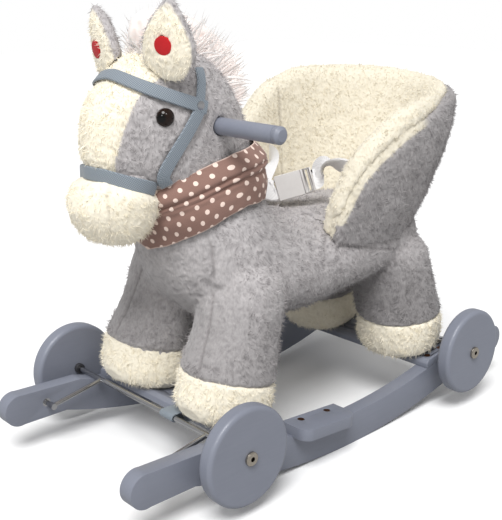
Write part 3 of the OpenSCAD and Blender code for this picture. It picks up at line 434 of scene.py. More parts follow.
def normals_of(mesh):
    return rows_of(mesh.vertex_normals, "vector")


def unit_rows(v):
    return v / np.linalg.norm(v, axis=1)[:, None]


def put_points(mesh, points):
    mesh.vertices.foreach_set("co", points.astype(np.float32).ravel())
    mesh.update()


def put_values(mesh, **layers):
    for name, values in layers.items():
        layer = mesh.attributes.new(name, "FLOAT", "POINT")
        layer.data.foreach_set("value", np.asarray(values, np.float32))


def modify(obj, kind, **values):
    """Adds a modifier with its values."""
    modifier = obj.modifiers.new(kind.lower(), kind)
    for key, value in values.items():
        setattr(modifier, key, value)


def baked(obj):
    """The mesh of an object with its modifiers applied; the object is removed."""
    bpy.context.view_layer.update()
    mesh = bpy.data.meshes.new_from_object(obj.evaluated_get(bpy.context.evaluated_depsgraph_get()))
    bpy.data.objects.remove(obj)
    return mesh


def middle_of(node):
    low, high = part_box(node)
    return (low + high) / 2


def lattice(p, seed):
    """Smooth value noise from -1 to 1 at points in lattice units."""
    base = np.floor(p).astype(np.int64)
    share = p - base
    share = share * share * (3 - 2 * share)
    total = np.zeros(len(p))
    for corner in range(8):
        bits = np.array([corner & 1, corner >> 1 & 1, corner >> 2 & 1])
        cell = base + bits
        key = cell[:, 0] * 73856093 ^ cell[:, 1] * 19349663 ^ cell[:, 2] * 83492791 ^ seed * 40503
        key = (key * 1103515245 + 12345) & 0x7FFFFFFF
        key = (key ^ key >> 13) * 69069 & 0x7FFFFFFF
        total += np.prod(np.where(bits, share, 1 - share), axis=1) * (key / 2 ** 30 - 1)
    return total


def smoothstep(a, b, x):
    t = np.clip((x - a) / (b - a), 0, 1)
    return t * t * (3 - 2 * t)


def to_line(p, line):
    """Distance from each point to a line through points."""
    best = np.full(len(p), 1e9)
    for a, b in zip(line[:-1], line[1:]):
        a, b = np.array(a, float), np.array(b, float)
        t = np.clip((p - a) @ (b - a) / ((b - a) @ (b - a)), 0, 1)
        best = np.minimum(best, np.linalg.norm(p - a - t[:, None] * (b - a), axis=1))
    return best


def merged(names):
    """Points and faces of several nodes."""
    points, faces = [], []
    for n in names:
        start = len(points)
        mesh = nodes[n].data
        points += [v.co[:] for v in mesh.vertices]
        faces += [[i + start for i in f.vertices] for f in mesh.polygons]
    return points, faces


def tree_of(names):
    return BVHTree.FromPolygons(*merged(names))


# Tables of the horse, as in the part's source
HEAD = np.array([
    [262, -180, -66, 50], [288, -188, -58, 55], [308, -198, -52, 58], [322, -226, -50, 59],
    [334, -250, -51, 59], [348, -258, -54, 60], [370, -259, -61, 61], [395, -255, -71, 61],
    [416, -243, -85, 58], [436, -222, -104, 51], [450, -202, -126, 38], [458, -184, -150, 19],
    [460, -174, -166, 5]], float)
MUZZLE = np.array([
    [263, -234, -222, 6], [267, -251, -206, 26], [277, -264, -194, 40], [290, -272, -186, 48],
    [304, -276, -182, 51], [318, -273, -180, 52], [331, -265, -182, 52], [340, -259, -186, 50]], float)
MANE = np.array([
    [-192, 452, 8, 18], [-184, 456, 15, 36], [-168, 458, 19, 40], [-140, 451, 20, 40], [-114, 438, 20, 38],
    [-94, 422, 19, 34], [-80, 404, 15, 24], [-72, 392, 6, 8]], float)
TAIL = np.array([
    [193, 236, 9, 8], [206, 234, 13, 12], [216, 216, 16, 13], [219, 190, 17, 13], [216, 162, 14, 11],
    [212, 144, 6, 5]], float)
SCARF = np.array([
    [-124, 297, 74, 71, 46, 0.6], [-125, 311, 73, 73, 42, 1.4], [-127, 322, 71, 76, 39, 0.7],
    [-129, 333, 69, 81, 37, 1.3], [-132, 345, 65, 86, 35, 0.5]], float)
SCARF_T = 4
FULLNESS = 0.82
EAR_BASE = {"left": np.array([45, -190, 431.0]), "right": np.array([-45, -190, 422.0])}
EAR_FACE = {"left": np.array([0.3705, -0.9079, -0.1963]), "right": np.array([-0.2077, -0.9639, -0.1664])}
EYE_APEX = (0.0585, -0.2109, 0.395)  # metres
PIVOTS = {"front": (-258.5, 55.0), "rear": (258.5, 55.0)}
SWEEP = 71.8


def spline(rows, steps):
    """Points on a smooth curve through the rows."""
    out = []
    n = len(rows)
    for i in range(n - 1):
        a, b, c, d = (rows[min(max(k, 0), n - 1)] for k in (i - 1, i, i + 1, i + 2))
        for s in range(steps):
            t = s / steps
            out.append(0.5 * (2 * b + (c - a) * t + (2 * a - 5 * b + 4 * c - d) * t ** 2
                              + (3 * b - a - 3 * c + d) * t ** 3))
    out.append(rows[-1])
    return np.array(out)


HEAD_ROWS = spline(HEAD, 6)
MUZZLE_ROWS = spline(MUZZLE, 6)


def section(rows, z):
    """Front, back and half width at a height."""
    return (np.interp(z, rows[:, 0], rows[:, k]) for k in (1, 2, 3))


def head_point(z, angle, out):
    f, b, w = section(HEAD_ROWS, z)
    return np.array([(w + out) * math.sin(angle), (f + b) / 2 - ((b - f) / 2 + out) * math.cos(angle), z])


# Where the head is cream: a blaze down the face, wider over the brow
BLAZE_Z = [340, 349, 372, 399, 421, 434, 450, 470]
BLAZE_HALF = [26, 27.5, 33, 37.5, 39, 43, 50, 56]


def past_blaze(p):
    """How far points are outside the edge of the blaze."""
    return np.abs(p[:, 0]) - np.interp(p[:, 2], BLAZE_Z, BLAZE_HALF)


def blaze(p):
    return smoothstep(1.0, -1.0, past_blaze(p)) * smoothstep(-158, -164, p[:, 1])


def blaze_seam(p):
    """The sewn edge of the blaze, from 0 to 1."""
    return np.exp(-(past_blaze(p) / 1.5) ** 2) * smoothstep(-200, -215, p[:, 1])


def over_band(p):
    """Height of points over the middle of the noseband."""
    angle = np.arctan2(p[:, 0], NOSE_Y - p[:, 1])
    return p[:, 2] - NOSE_Z + NOSE_DROP * (1 - np.cos(angle))


def muzzle_tint(p):
    """Cream below the noseband, and the head's colours above it."""
    return np.maximum(blaze(p), smoothstep(2.0, -1.0, over_band(p)))


def tucked(p):
    """Points of the muzzle drawn in where the noseband holds it to the face."""
    share = NOSE_DRAW * smoothstep(-13, -3, over_band(p))[:, None]
    return p + (np.array([0, NOSE_Y, 0]) - p) * share * np.array([1, 1, 0])


def ear_front(side):
    return lambda p: smoothstep(3.0, 6.0, (p - EAR_BASE[side]) @ EAR_FACE[side])


def even(value):
    return lambda p: np.full(len(p), float(value))


def leg_nap(p):
    """Painted shade on the legs: darker than the body from the belly down, the rear legs under the seat more
    than the front ones.
    """
    depth = np.where(p[:, 1] < 0, 0.25, 0.36)
    return 1 - depth * smoothstep(225, 165, p[:, 2])


# Seams sewn into the plush
def both_sides(*lines):
    return [[(s * x, y, z) for x, y, z in line] for s in (1, -1) for line in lines]


SEAT_ARC = [(100, 6.4, 236.7), (102.3, 38.7, 228.6), (102.2, 75.3, 219.2), (100.3, 116, 209.6)]
BODY_SEAMS = both_sides(
    [(83.7, -1.1, 246.5), (95.1, -13.1, 235.9), (100.6, -18.7, 224.2), (103, -21, 214)],
    [(64, -170, 274), (67.6, -165.1, 257.3), (68.1, -164.4, 241.2), (67.6, -162.9, 224.5)],
    [(62, -160, 206), (63.3, -162.5, 201.4), (66.9, -168.6, 181.6), (71.1, -176.8, 157),
     (75.2, -183.3, 137.6), (77, -187, 120)],
    SEAT_ARC)
MUZZLE_SEAMS = both_sides(
    [(30.5, -258, 336), (35, -260, 319), (37.6, -260.3, 305), (36, -258.5, 290), (30, -254, 276)])
LINING_SEAMS = both_sides(
    [(104, 107, 400), (100.6, 105.6, 380.5), (94.7, 102.1, 348.8), (87.8, 97.6, 310.6), (82, 94, 272)])

ALL_NODES = tree_of(sorted(nodes))
STRAP_TREE = tree_of(["browband", "noseband", "cheek_straps"])
RIM_TREE = tree_of(["seat_lining"])
INNER_TREE = tree_of(["seat_board", "neck_board", "leg_posts", "leg_bolts"])
HARD_TREE = tree_of(["eyes", "handle_bar", "ear_button_left", "ear_button_right", "bridle_rivets"])
NAP = np.array([0.0, 0.3, -0.95])
CHEST_BACK = np.array([0, 9.5, 0])
RIM_STRIP = 8.0


def near(tree, points, reach):
    """Distance in millimetres from points in millimetres to a tree, up to a reach."""
    out = np.full(len(points), float(reach))
    for i, p in enumerate(points * MM):
        found = tree.find_nearest(Vector(p), reach * MM)
        if found[3] is not None:
            out[i] = found[3] / MM
    return out


def out_of_sweep(p, margin):
    """Moves points out of the ways of the swinging axles."""
    for y, z in PIVOTS.values():
        d = np.hypot(p[:, 1] - y, p[:, 2] - z)
        inside = d < SWEEP + margin
        k = (SWEEP + margin) / np.maximum(d, 1e-6)
        p[:, 1] = np.where(inside, y + (p[:, 1] - y) * k, p[:, 1])
        p[:, 2] = np.where(inside, z + (p[:, 2] - z) * k, p[:, 2])
    return p


def slimmed(p):
    """Points of the chest and upper forelegs drawn back, as the stuffing settles."""
    share = smoothstep(105, 185, p[:, 2]) * smoothstep(300, 255, p[:, 2]) * smoothstep(-120, -160, p[:, 1])
    share = share * smoothstep(3, 13, near(INNER_TREE, p, 14))
    return p + CHEST_BACK * share[:, None]


def rim_tint(p):
    """Cream on the strip of the seat's outside that is sewn to the rolled rim of its arms."""
    arms = smoothstep(125, 105, p[:, 1]) * smoothstep(390, 370, p[:, 2])
    reach = RIM_STRIP * smoothstep(226, 256, p[:, 2])
    return smoothstep(0.8, -0.8, near(RIM_TREE, p, 10) - reach) * arms


def shell_dip(p):
    """How far the seat's outside runs under the lining: least at the cream strip of the arms."""
    return 3.6 - 2.6 * smoothstep(0.6, 1.0, rim_tint(p))


def soft_mesh(names, voxel, rounds):
    """The solids of nodes as one even, rounded mesh."""
    mesh = bpy.data.meshes.new("work")
    points, faces = merged(names)
    mesh.from_pydata(points, [], faces)
    work = new_object("work", mesh)
    modify(work, "REMESH", mode="VOXEL", voxel_size=voxel * MM)
    modify(work, "SMOOTH", factor=0.5, iterations=rounds)
    modify(work, "SUBSURF", levels=1, render_levels=1)
    return baked(work)


CLUMP = 5.5
SWELL = 1.3
SWELL_STEP = 38
SEAM_HALF = 2.1
STRAP_PRESS = 1.2
BUTTON_DRAW = 1.7


def curls(p, seed):
    """How the pile is swirled at points, one random direction for each clump."""
    return np.stack([lattice(p / (1.6 * CLUMP), seed + k) for k in (1, 2, 3)], axis=1)


def crushed(p, seed):
    """Relief of crushed pile, from -1 to 1: curled ridges with finer clumps on them."""
    curl = curls(p, seed)
    ridges = 1 - 2.2 * np.abs(lattice(p / CLUMP + 0.8 * curl, seed + 4))
    clumps = lattice(p / (0.5 * CLUMP) + curl, seed + 5)
    return np.clip(0.65 * ridges + 0.4 * clumps, -1, 1)


def plush(name, parts, cream, slot, seed, under=(), dip=even(2.6), voxel=3.6, rounds=8, seams=(),
          sewn=1.4, depth=1.1, length=6.5, ease=0.6, nap=even(1)):
    """Replaces soft nodes by one plush piece with its seams, and by the fibres that stand on it.
    The piece runs on inside the nodes that under names, which cover it."""
    mesh = soft_mesh([*parts, *under], voxel, rounds)
    p, n = points_of(mesh) / MM, normals_of(mesh)
    height = crushed(p, seed)
    push = SWELL * lattice(p / SWELL_STEP, seed) + depth * height - ease
    seam = np.zeros(len(p))
    for line in seams:
        seam = np.maximum(seam, np.exp(-(to_line(p, line) / SEAM_HALF) ** 2))
    if name == "head":
        seam = 0.4 * blaze_seam(p)
    push -= sewn * seam
    if name in ("head", "muzzle"):
        push -= STRAP_PRESS * smoothstep(8, 3, near(STRAP_TREE, p, 10))
    if name in ("head", "ear_left", "ear_right"):
        push = np.where(near(HARD_TREE, p, 12) < 10, np.minimum(push, -0.4), push)
    if under:
        covered = near(tree_of(under), p, 6) - near(tree_of(parts), p, 6)
        push -= dip(p) * smoothstep(1.0, -1.0, covered)
    p = p + n * push[:, None]
    if name == "body":
        p = slimmed(p)
    if name == "muzzle":
        p = tucked(p)
    if name == "body" or name.endswith("foot"):
        p = out_of_sweep(p, 0.6)
    if name.startswith("ear"):
        p = close_round(p, name)
    put_points(mesh, p * MM)
    # Painted shade in the seams: a share of the seam groove, kept on the mesh as an attribute for the
    # material.
    shade = 0.3 if name in ("head", "muzzle") else 0.5
    # The relief height goes on the mesh as well, for the painted light on the ridges and painted shade in the
    # hollows.
    put_values(mesh, cream=cream(p), nap=nap(p), seam=shade * seam, height=0.5 + 0.5 * height)
    piece = dress(name + "_plush", mesh, PLUSH)
    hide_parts(*parts)
    fibres(name, mesh, cream, nap, slot, under, length, seed)


def close_round(p, ear):
    """Draws the plush of an ear in to the rim of its button."""
    side = ear[4:]
    off = p - np.array(middle_of("ear_button_" + side)) / MM
    along = off @ EAR_FACE[side]
    radial = off - along[:, None] * EAR_FACE[side]
    r = np.linalg.norm(radial, axis=1)
    draw = BUTTON_DRAW * smoothstep(15, 10.5, r) * (along > -3) * (r > 8.5)
    return p - radial * (draw / np.maximum(r, 1e-6))[:, None]


PILE_DENSITY = 0.13
FIBRE_RADIUS = 0.48
FIBRE_ROOT = 0.8
FIBRE_START = 3.5
FIBRE_ROOM = 0.014  # metres
SPIKE_ANGLES = (0, 2.094, 4.189)
SPIKE_CELL = np.array([[0.15, 0.15], [0.85, 0.15], [0.5, 0.45], [0.5, 0.9]])


def scatter(mesh, rng):
    """Random points on a mesh with their normals, by area."""
    mesh.calc_loop_triangles()
    tri = np.empty(len(mesh.loop_triangles) * 3, np.int64)
    mesh.loop_triangles.foreach_get("vertices", tri)
    tri = tri.reshape(-1, 3)
    p, n = points_of(mesh) / MM, normals_of(mesh)
    a, b, c = p[tri[:, 0]], p[tri[:, 1]], p[tri[:, 2]]
    area = np.linalg.norm(np.cross(b - a, c - a), axis=1) / 2
    count = int(PILE_DENSITY * area.sum())
    pick = rng.choice(len(tri), count, p=area / area.sum())
    u, v = rng.random(count), rng.random(count)
    over = u + v > 1
    u, v = np.where(over, 1 - u, u), np.where(over, 1 - v, v)
    w = 1 - u - v
    spots = w[:, None] * a[pick] + u[:, None] * b[pick] + v[:, None] * c[pick]
    return spots, n[tri[pick, 0]]


def spikes(roots, directions, lengths, radius):
    """Thin closed three-sided spikes."""
    count = len(roots)
    side = unit_rows(np.cross(directions, np.array([0.31, 0.77, 0.55])))
    other = np.cross(directions, side)
    rings = [roots + radius * (math.cos(a) * side + math.sin(a) * other) for a in SPIKE_ANGLES]
    tips = roots + directions * lengths[:, None]
    points = np.stack([*rings, tips], axis=1).reshape(-1, 3)
    k = 4 * np.arange(count)[:, None]
    faces = np.concatenate([k + np.array(f) for f in ((0, 1, 3), (1, 2, 3), (2, 0, 3), (0, 2, 1))])
    return points, faces


def fibres(name, mesh, cream, nap, slot, under, length, seed):
    """The pile of a plush piece: fibres that lie along its curls, where the piece is in the open."""
    rng = np.random.default_rng(seed)
    spots, normal = scatter(mesh, rng)
    starts = (spots + FIBRE_START * normal) * MM
    keep = np.array([ALL_NODES.ray_cast(Vector(s), Vector(n), FIBRE_ROOM)[3] is None
                     for s, n in zip(starts, normal)])
    if under:
        keep &= near(tree_of(under), spots, 4) > 3.5
    spots, normal = spots[keep], normal[keep]
    lie = 0.55 * NAP + 1.5 * curls(spots, seed)
    lie -= normal * (lie * normal).sum(1)[:, None]
    direction = unit_rows(0.5 * normal + 0.8 * lie + 0.24 * rng.standard_normal(spots.shape))
    outward = (direction * normal).sum(1)
    direction = unit_rows(direction + normal * np.maximum(0, 0.3 - outward)[:, None])
    lengths = length * rng.uniform(0.55, 1.15, len(spots))
    tips = spots + direction * lengths[:, None]
    keep = np.ones(len(spots), bool)
    for y, z in PIVOTS.values():
        keep &= np.hypot(tips[:, 1] - y, tips[:, 2] - z) > SWEEP + 0.5
    if name in ("head", "muzzle", "ear_left", "ear_right"):
        keep &= (near(HARD_TREE, spots, 4) > 1.8) & (near(HARD_TREE, tips, 4) > 1.2)
    spots, direction, lengths = spots[keep], direction[keep], lengths[keep]
    points, faces = spikes(spots - FIBRE_ROOT * normal[keep], direction, lengths, FIBRE_RADIUS)
    piece = new_piece(name + "_pile", points * MM, faces, PILE, smooth=False)
    # Each fibre's tone: partly random, partly painted light on the ridges of the relief and painted shade in
    # its hollows.
    tone = np.clip(0.3 + 0.3 * crushed(spots, seed) + 0.5 * rng.random(len(spots)), 0, 1)
    each = {"cream": cream(spots), "nap": nap(spots), "tone": tone}
    put_values(piece.data, **{key: np.repeat(values, 4) for key, values in each.items()})
    cell_map(piece.data, len(spots), SPIKE_CELL)


def make_plush():
    feet = [corner + "_foot" for corner in CORNERS]
    legs = [corner + "_leg" for corner in CORNERS]
    plush("body", ["body", *legs], even(0), "grey_plush", under=feet, voxel=3.8, rounds=4, seams=BODY_SEAMS,
          nap=leg_nap, seed=11)
    plush("head", ["head"], blaze, "grey_plush", voxel=3.0, sewn=2.0, seed=21)
    plush("muzzle", ["muzzle"], muzzle_tint, "cream_plush", voxel=3.0, seams=MUZZLE_SEAMS, sewn=0.8,
          depth=0.6, seed=31)
    for side in ("left", "right"):
        ear = "ear_" + side
        plush(ear, [ear], ear_front(side), "cream_plush", voxel=2.0, rounds=5, depth=0.6, seed=41)
    for foot in feet:
        plush(foot, [foot], even(1), "cream_plush", voxel=3.2, rounds=5, depth=0.7, ease=0.2, seed=61)
    # The seat shell and the lining are made darker all over by painted shade.
    plush("seat_shell", ["seat_shell"], rim_tint, "grey_plush", under=["seat_lining"], dip=shell_dip,
          rounds=6, ease=0.0, seams=both_sides(SEAT_ARC), sewn=2.0, nap=even(0.82), seed=71)
    plush("seat_lining", ["seat_lining"], even(1), "cream_plush", rounds=5, seams=LINING_SEAMS,
          depth=0.7, length=5.5, ease=-1.0, nap=even(0.9), seed=81)
    plush("seat_cushion", ["seat_cushion"], even(0), "grey_plush", depth=0.9, length=5.5, seed=91)


# Mane and tail: curved locks and single hairs, rooted on a crest
LOCK_SIDES = 5
LOCK_RINGS = 5
LOCK_TIP = 1.12
LOCK_CELL = np.array(
    [[0.1 + 0.8 * k / (LOCK_SIDES - 1), 0.2 + 0.6 * j / (LOCK_RINGS - 1)]
     for j in range(LOCK_RINGS) for k in range(LOCK_SIDES)] + [[0.5, 0.95], [0.5, 0.05]])


def locks(roots, directions, bends, lengths, radius):
    """Tapered closed tubes that curve from one direction to another."""
    sides, rings = LOCK_SIDES, LOCK_RINGS
    count = len(roots)
    points = []
    for j in range(rings):
        t = j / (rings - 1)
        centre = roots + lengths[:, None] * (t * directions + t * t * bends)
        axis = unit_rows(directions + 2 * t * bends)
        side = unit_rows(np.cross(axis, np.array([0.21, 0.6, 0.77])))
        other = np.cross(axis, side)
        r = radius * (0.75 + 0.9 * t - 1.6 * t * t)
        for k in range(sides):
            a = 2 * math.pi * k / sides
            points.append(centre + r[:, None] * (math.cos(a) * side + 0.6 * math.sin(a) * other))
    points.append(roots + lengths[:, None] * (directions + bends) * LOCK_TIP)
    points.append(roots)
    per = rings * sides + 2
    points = np.stack(points, axis=1).reshape(-1, 3)
    pattern = []
    for j in range(rings - 1):
        for k in range(sides):
            a, b = j * sides + k, j * sides + (k + 1) % sides
            pattern += [(a, b, b + sides), (a, b + sides, a + sides)]
    top = (rings - 1) * sides
    for k in range(sides):
        pattern.append((top + k, top + (k + 1) % sides, per - 2))
        pattern.append(((k + 1) % sides, k, per - 1))
    base = per * np.arange(count)[:, None]
    faces = np.concatenate([base + np.array(f) for f in pattern])
    return points, faces, per


def hair_piece(name, roots, directions, bends, lengths, radius, rng, node=None):
    """Hairs of one piece; they let light through, so they cast no shadow."""
    points, faces, per = locks(roots, directions, bends, lengths, radius)
    piece = new_piece(name, points * MM, faces, HAIR)
    put_values(piece.data, tone=np.repeat(rng.random(len(roots)), per))
    cell_map(piece.data, len(roots), LOCK_CELL)
    piece.visible_shadow = False
    if node:
        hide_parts(node)


def rows_at(rows, at):
    """The row at each place along a curve of rows, and the run of the curve there."""
    low = at.astype(int)
    share = (at - low)[:, None]
    row = rows[low] * (1 - share) + rows[low + 1] * share
    return row, unit_rows(rows[low + 1][:, :2] - rows[low][:, :2])


MANE_TOP = 514
TAIL_END = 132
TAIL_ROOTED = 0.82


def make_mane():
    rng = np.random.default_rng(7)
    mesh = soft_mesh(["mane"], 3.0, 6)
    p = points_of(mesh) / MM
    wisps = crushed(p * np.array([1.0, 0.6, 0.6]), 5)
    put_points(mesh, (p + normals_of(mesh) * (1.1 * wisps - 0.5)[:, None]) * MM)
    # Painted light and shade: the core's tone follows its wisps, lighter where they stand out and darker
    # where they dip.
    put_values(mesh, tone=0.5 + 0.5 * wisps)
    core = dress("mane_core", mesh, HAIR)
    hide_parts("mane")
    rows = spline(MANE, 8)
    for name, count, thick, spread in (("mane_locks", 1300, 3.4, 0.17), ("mane_hairs", 250, 0.8, 0.25)):
        at = rng.uniform(0, len(rows) - 1.001, count)
        row, run = rows_at(rows, at)
        off = rng.uniform(-1, 1, count)
        normal = np.stack([0.55 * off, -run[:, 1], run[:, 0]], axis=1)
        roots = np.stack([off * row[:, 2] * 0.8, row[:, 0], row[:, 1] - 5 * np.abs(off) - 2], axis=1)
        direction = unit_rows(normal + spread * rng.standard_normal((count, 3)) + np.array([0, 0.18, 0.1]))
        bend = 0.22 * rng.standard_normal((count, 3)) + np.array([0, 0.16, -0.1])
        length = (row[:, 3] * rng.uniform(0.75, 0.95, count) - 2).clip(8)
        rise = np.maximum(LOCK_TIP * (direction + bend)[:, 2], 0.01)
        length = np.minimum(length, (MANE_TOP - roots[:, 2]) / rise)
        radius = thick * rng.uniform(0.6, 1.2, count)
        hair_piece(name, roots, direction, bend, length, radius, rng)


def make_tail():
    rng = np.random.default_rng(8)
    rows = spline(TAIL, 8)
    for name, count, thick in (("tail_locks", 330, 3.0), ("tail_hairs", 600, 0.75)):
        at = rng.uniform(0, (len(rows) - 1) * TAIL_ROOTED, count)
        row, run = rows_at(rows, at)
        angle = rng.uniform(0, 2 * math.pi, count)
        ring = np.stack([np.cos(angle), -run[:, 1] * np.sin(angle), run[:, 0] * np.sin(angle)], axis=1)
        ring[:, 1] = np.maximum(ring[:, 1], -0.35)
        roots = np.stack([np.zeros(count), row[:, 0], row[:, 1]], axis=1) + ring * (0.55 * row[:, 2:3])
        direction = unit_rows(np.stack([np.zeros(count), run[:, 0], run[:, 1]], axis=1) + 0.3 * ring
                              + 0.12 * rng.standard_normal((count, 3)))
        bend = 0.12 * rng.standard_normal((count, 3)) + np.array([0, 0.0, -0.2])
        length = np.minimum(rng.uniform(26, 40, count), 0.9 * (row[:, 1] - TAIL_END))
        radius = thick * rng.uniform(0.6, 1.2, count)
        hair_piece(name, roots, direction, bend, length, radius, rng, "tail" if thick > 1 else None)


# Straps: ribbons with a rounded cross-section
STRAP_EDGE = [(-0.5, -0.5), (-0.44, 0.38), (-0.3, 0.5), (0.3, 0.5), (0.44, 0.38), (0.5, -0.5)]


def ribbon(name, middles, widths, faces_out, width, thick, material, body=ROOT):
    points, uv_rows = [], []
    run = 0.0
    for j, (m, w, f) in enumerate(zip(middles, widths, faces_out)):
        if j:
            run += np.linalg.norm(m - middles[j - 1])
        for a, b in STRAP_EDGE:
            points.append(m + a * width * w + (b + 0.5) * thick * f)
            uv_rows.append((run, a * width))
    n = len(STRAP_EDGE)
    faces = []
    for j in range(len(middles) - 1):
        for k in range(n):
            a, b = j * n + k, j * n + (k + 1) % n
            faces.append((a, b, b + n, a + n))
    last = (len(middles) - 1) * n
    faces.append(tuple(range(n - 1, -1, -1)))
    faces.append(tuple(last + k for k in range(n)))
    piece = new_piece(name, np.array(points) * MM, faces, material, body)
    put_map(piece.data, "UVMap", np.array(uv_rows))
    piece.data.set_sharp_from_angle(angle=math.radians(40))
    return piece


def frames_along(middles, normals):
    """Width and face directions along a strap from its middle points and rough outward directions."""
    run = unit_rows(np.gradient(middles, axis=0))
    face = unit_rows(normals - run * (normals * run).sum(1)[:, None])
    return np.cross(face, run), face


BRIDLE_W = 14
BRIDLE_T = 1.9
BRIDLE_LIFT = 0.4
CROWN_W = 11


def head_normal(z, angle):
    d = head_point(z, angle + 0.02, 0) - head_point(z, angle - 0.02, 0)
    rise = head_point(z + 1, angle, 0) - head_point(z - 1, angle, 0)
    n = np.cross(d, rise)
    return n / np.linalg.norm(n)


def bridle_strap(name, middles, outward, node, width=BRIDLE_W):
    widths, faces = frames_along(middles, outward)
    piece = ribbon(name, middles, widths, faces, width, BRIDLE_T, BRIDLE)
    if node:
        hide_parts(node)


def strap_on_head(name, rows, node=None, lift=BRIDLE_LIFT, width=BRIDLE_W):
    middles = np.array([head_point(z, a, lift) for a, z in rows])
    normals = np.array([head_normal(z, a) for a, z in rows])
    bridle_strap(name, middles, normals, node, width)


NOSE_Y = -205
NOSE_Z = 340
NOSE_DROP = 18
NOSE_END = 86
NOSE_DRAW = 0.14


def nose_out(z, angle):
    """Distance from the upright axis of the noseband to the head or the muzzle, which the band draws in."""
    best = 0.0
    s, c = math.sin(angle), math.cos(angle)
    for rows, share in ((HEAD_ROWS, 1.0), (MUZZLE_ROWS, 1 - NOSE_DRAW)):
        f, b, w = section(rows, z)
        m, h = (f + b) / 2 - NOSE_Y, (b - f) / 2
        u = (s / w) ** 2 + (c / h) ** 2
        v = c * m / h ** 2
        best = max(best, share * (-v + math.sqrt(max(0.0, v * v - u * ((m / h) ** 2 - 1)))) / u)
    return best


def nose_point(angle, lift):
    z = NOSE_Z - NOSE_DROP * (1 - math.cos(angle))
    o = nose_out(z, angle) + lift
    return np.array([o * math.sin(angle), NOSE_Y - o * math.cos(angle), z])


def make_bridle():
    brow = [(math.radians(90 * t), 434 - 30 * abs(t) ** 1.6) for t in np.linspace(-1.06, 1.06, 61)]
    strap_on_head("browband_web", brow, "browband", lift=0.7)
    angles = np.radians(np.linspace(-NOSE_END, NOSE_END, 61))
    middles = np.array([nose_point(a, 0.8) for a in angles])
    outward = np.array([[math.sin(a), -math.cos(a), 0.0] for a in angles])
    bridle_strap("noseband_web", middles, outward, "noseband")
    for side, s in (("left", 1), ("right", -1)):
        cheek = [(math.radians(s * (90 - 35 * t)), 400 - 73 * t) for t in np.linspace(0, 1, 25)]
        strap_on_head("cheek_web_" + side, cheek, "cheek_straps" if s > 0 else None)
        crown = [(math.radians(s * (90 + 9 * t)), 404 + 35 * t) for t in np.linspace(0, 1, 17)]
        strap_on_head("crown_web_" + side, crown, width=CROWN_W)


# Scarf: a folded band round the neck
SCARF_AROUND = 160
SCARF_RISE = 30
SCARF_MID = np.array([0, -127, 320])
# Height, sway and phase round the neck, and depth of each crease
SCARF_FOLDS = ((0.72, 0.1, 0.6, 3.2), (0.56, 0.06, -0.4, 1.8))


def full(c):
    return math.copysign(abs(c) ** FULLNESS, c)


def scarf_fold(share, a):
    """How far the cloth stands out below each crease and is drawn in at it."""
    fold = 0.0
    for height, sway, phase, deep in SCARF_FOLDS:
        off = share - (height - sway * math.cos(a + phase))
        fold += 0.7 * deep * math.exp(-((off + 0.06) / 0.05) ** 2)
        fold -= deep * math.exp(-(off / 0.03) ** 2)
    return fold


def scarf_point(r, share, a):
    """Point at a row of the table, a share of the height and an angle round the neck."""
    rear = max(0.0, math.sin(a))
    front = max(0.0, 1 - math.acos(min(1.0, -math.sin(a))) / math.radians(96))
    top = float(smoothstep(0.7, 1.0, share))
    fold = scarf_fold(share, a) * (1 - 0.7 * rear)
    out = SCARF_T * r[5] * 0.75 + fold + 0.6 - (6.0 + 5.0 * rear) * top - 0.5 * rear
    rise = share * (5.0 * (1 - front) + 8.0 * rear)
    x, y = (r[2] + out) * full(math.cos(a)), r[0] + (r[3] + out) * full(math.sin(a))
    return x, y, r[1] - (r[4] + 3) * front + rise


def make_scarf():
    n = SCARF_AROUND
    rows = spline(SCARF, 8)
    heights = np.interp(np.linspace(0, 1, SCARF_RISE), np.linspace(0, 1, len(rows)), np.arange(len(rows)))
    points, edge = [], []
    for h in heights:
        low = min(int(h), len(rows) - 2)
        r = rows[low] + (rows[low + 1] - rows[low]) * (h - low)
        share = h / (len(rows) - 1)
        points += [scarf_point(r, share, 2 * math.pi * i / n) for i in range(n)]
        edge += [1.0 if share < 0.03 or share > 0.975 else 0.0] * n
    points = np.array(points)
    ripple = 0.9 * lattice(points / 14, 3) + 0.5 * lattice(points / 6, 4)
    points = slimmed(points + ripple[:, None] * unit_rows(points - SCARF_MID))
    faces = [(j * n + i, j * n + (i + 1) % n, (j + 1) * n + (i + 1) % n, (j + 1) * n + i)
             for j in range(SCARF_RISE - 1) for i in range(n)]
    grid = points.reshape(SCARF_RISE, n, 3)
    ahead, rises = np.roll(grid, -1, axis=1) - grid, np.diff(grid, axis=0)
    climbs = np.linalg.norm(rises, axis=2)
    round_run = np.linalg.norm(ahead, axis=2).sum(1).mean()
    sheet = new_piece("scarf_cloth", points * MM, faces, COTTON, body=None)
    mesh = sheet.data
    put_values(mesh, edge=edge)
    layer = mesh.uv_layers.new(name="UVMap")
    cells = np.zeros((len(mesh.loops), 2))
    lift = np.concatenate([[0], np.cumsum(climbs.mean(1))])
    around = round(round_run / DOT_STEP) * DOT_STEP
    for f in mesh.polygons:
        j, i = divmod(f.index, n)
        for k, (di, dj) in enumerate(((0, 0), (1, 0), (1, 1), (0, 1))):
            cells[f.loop_start + k] = ((i + di) / n * around, lift[j + dj])
    layer.data.foreach_set("uv", cells.ravel())
    modify(sheet, "SOLIDIFY", thickness=0.0012, offset=-1)
    solid = baked(sheet)
    piece = dress("scarf_cloth", solid, COTTON)
    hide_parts("scarf")


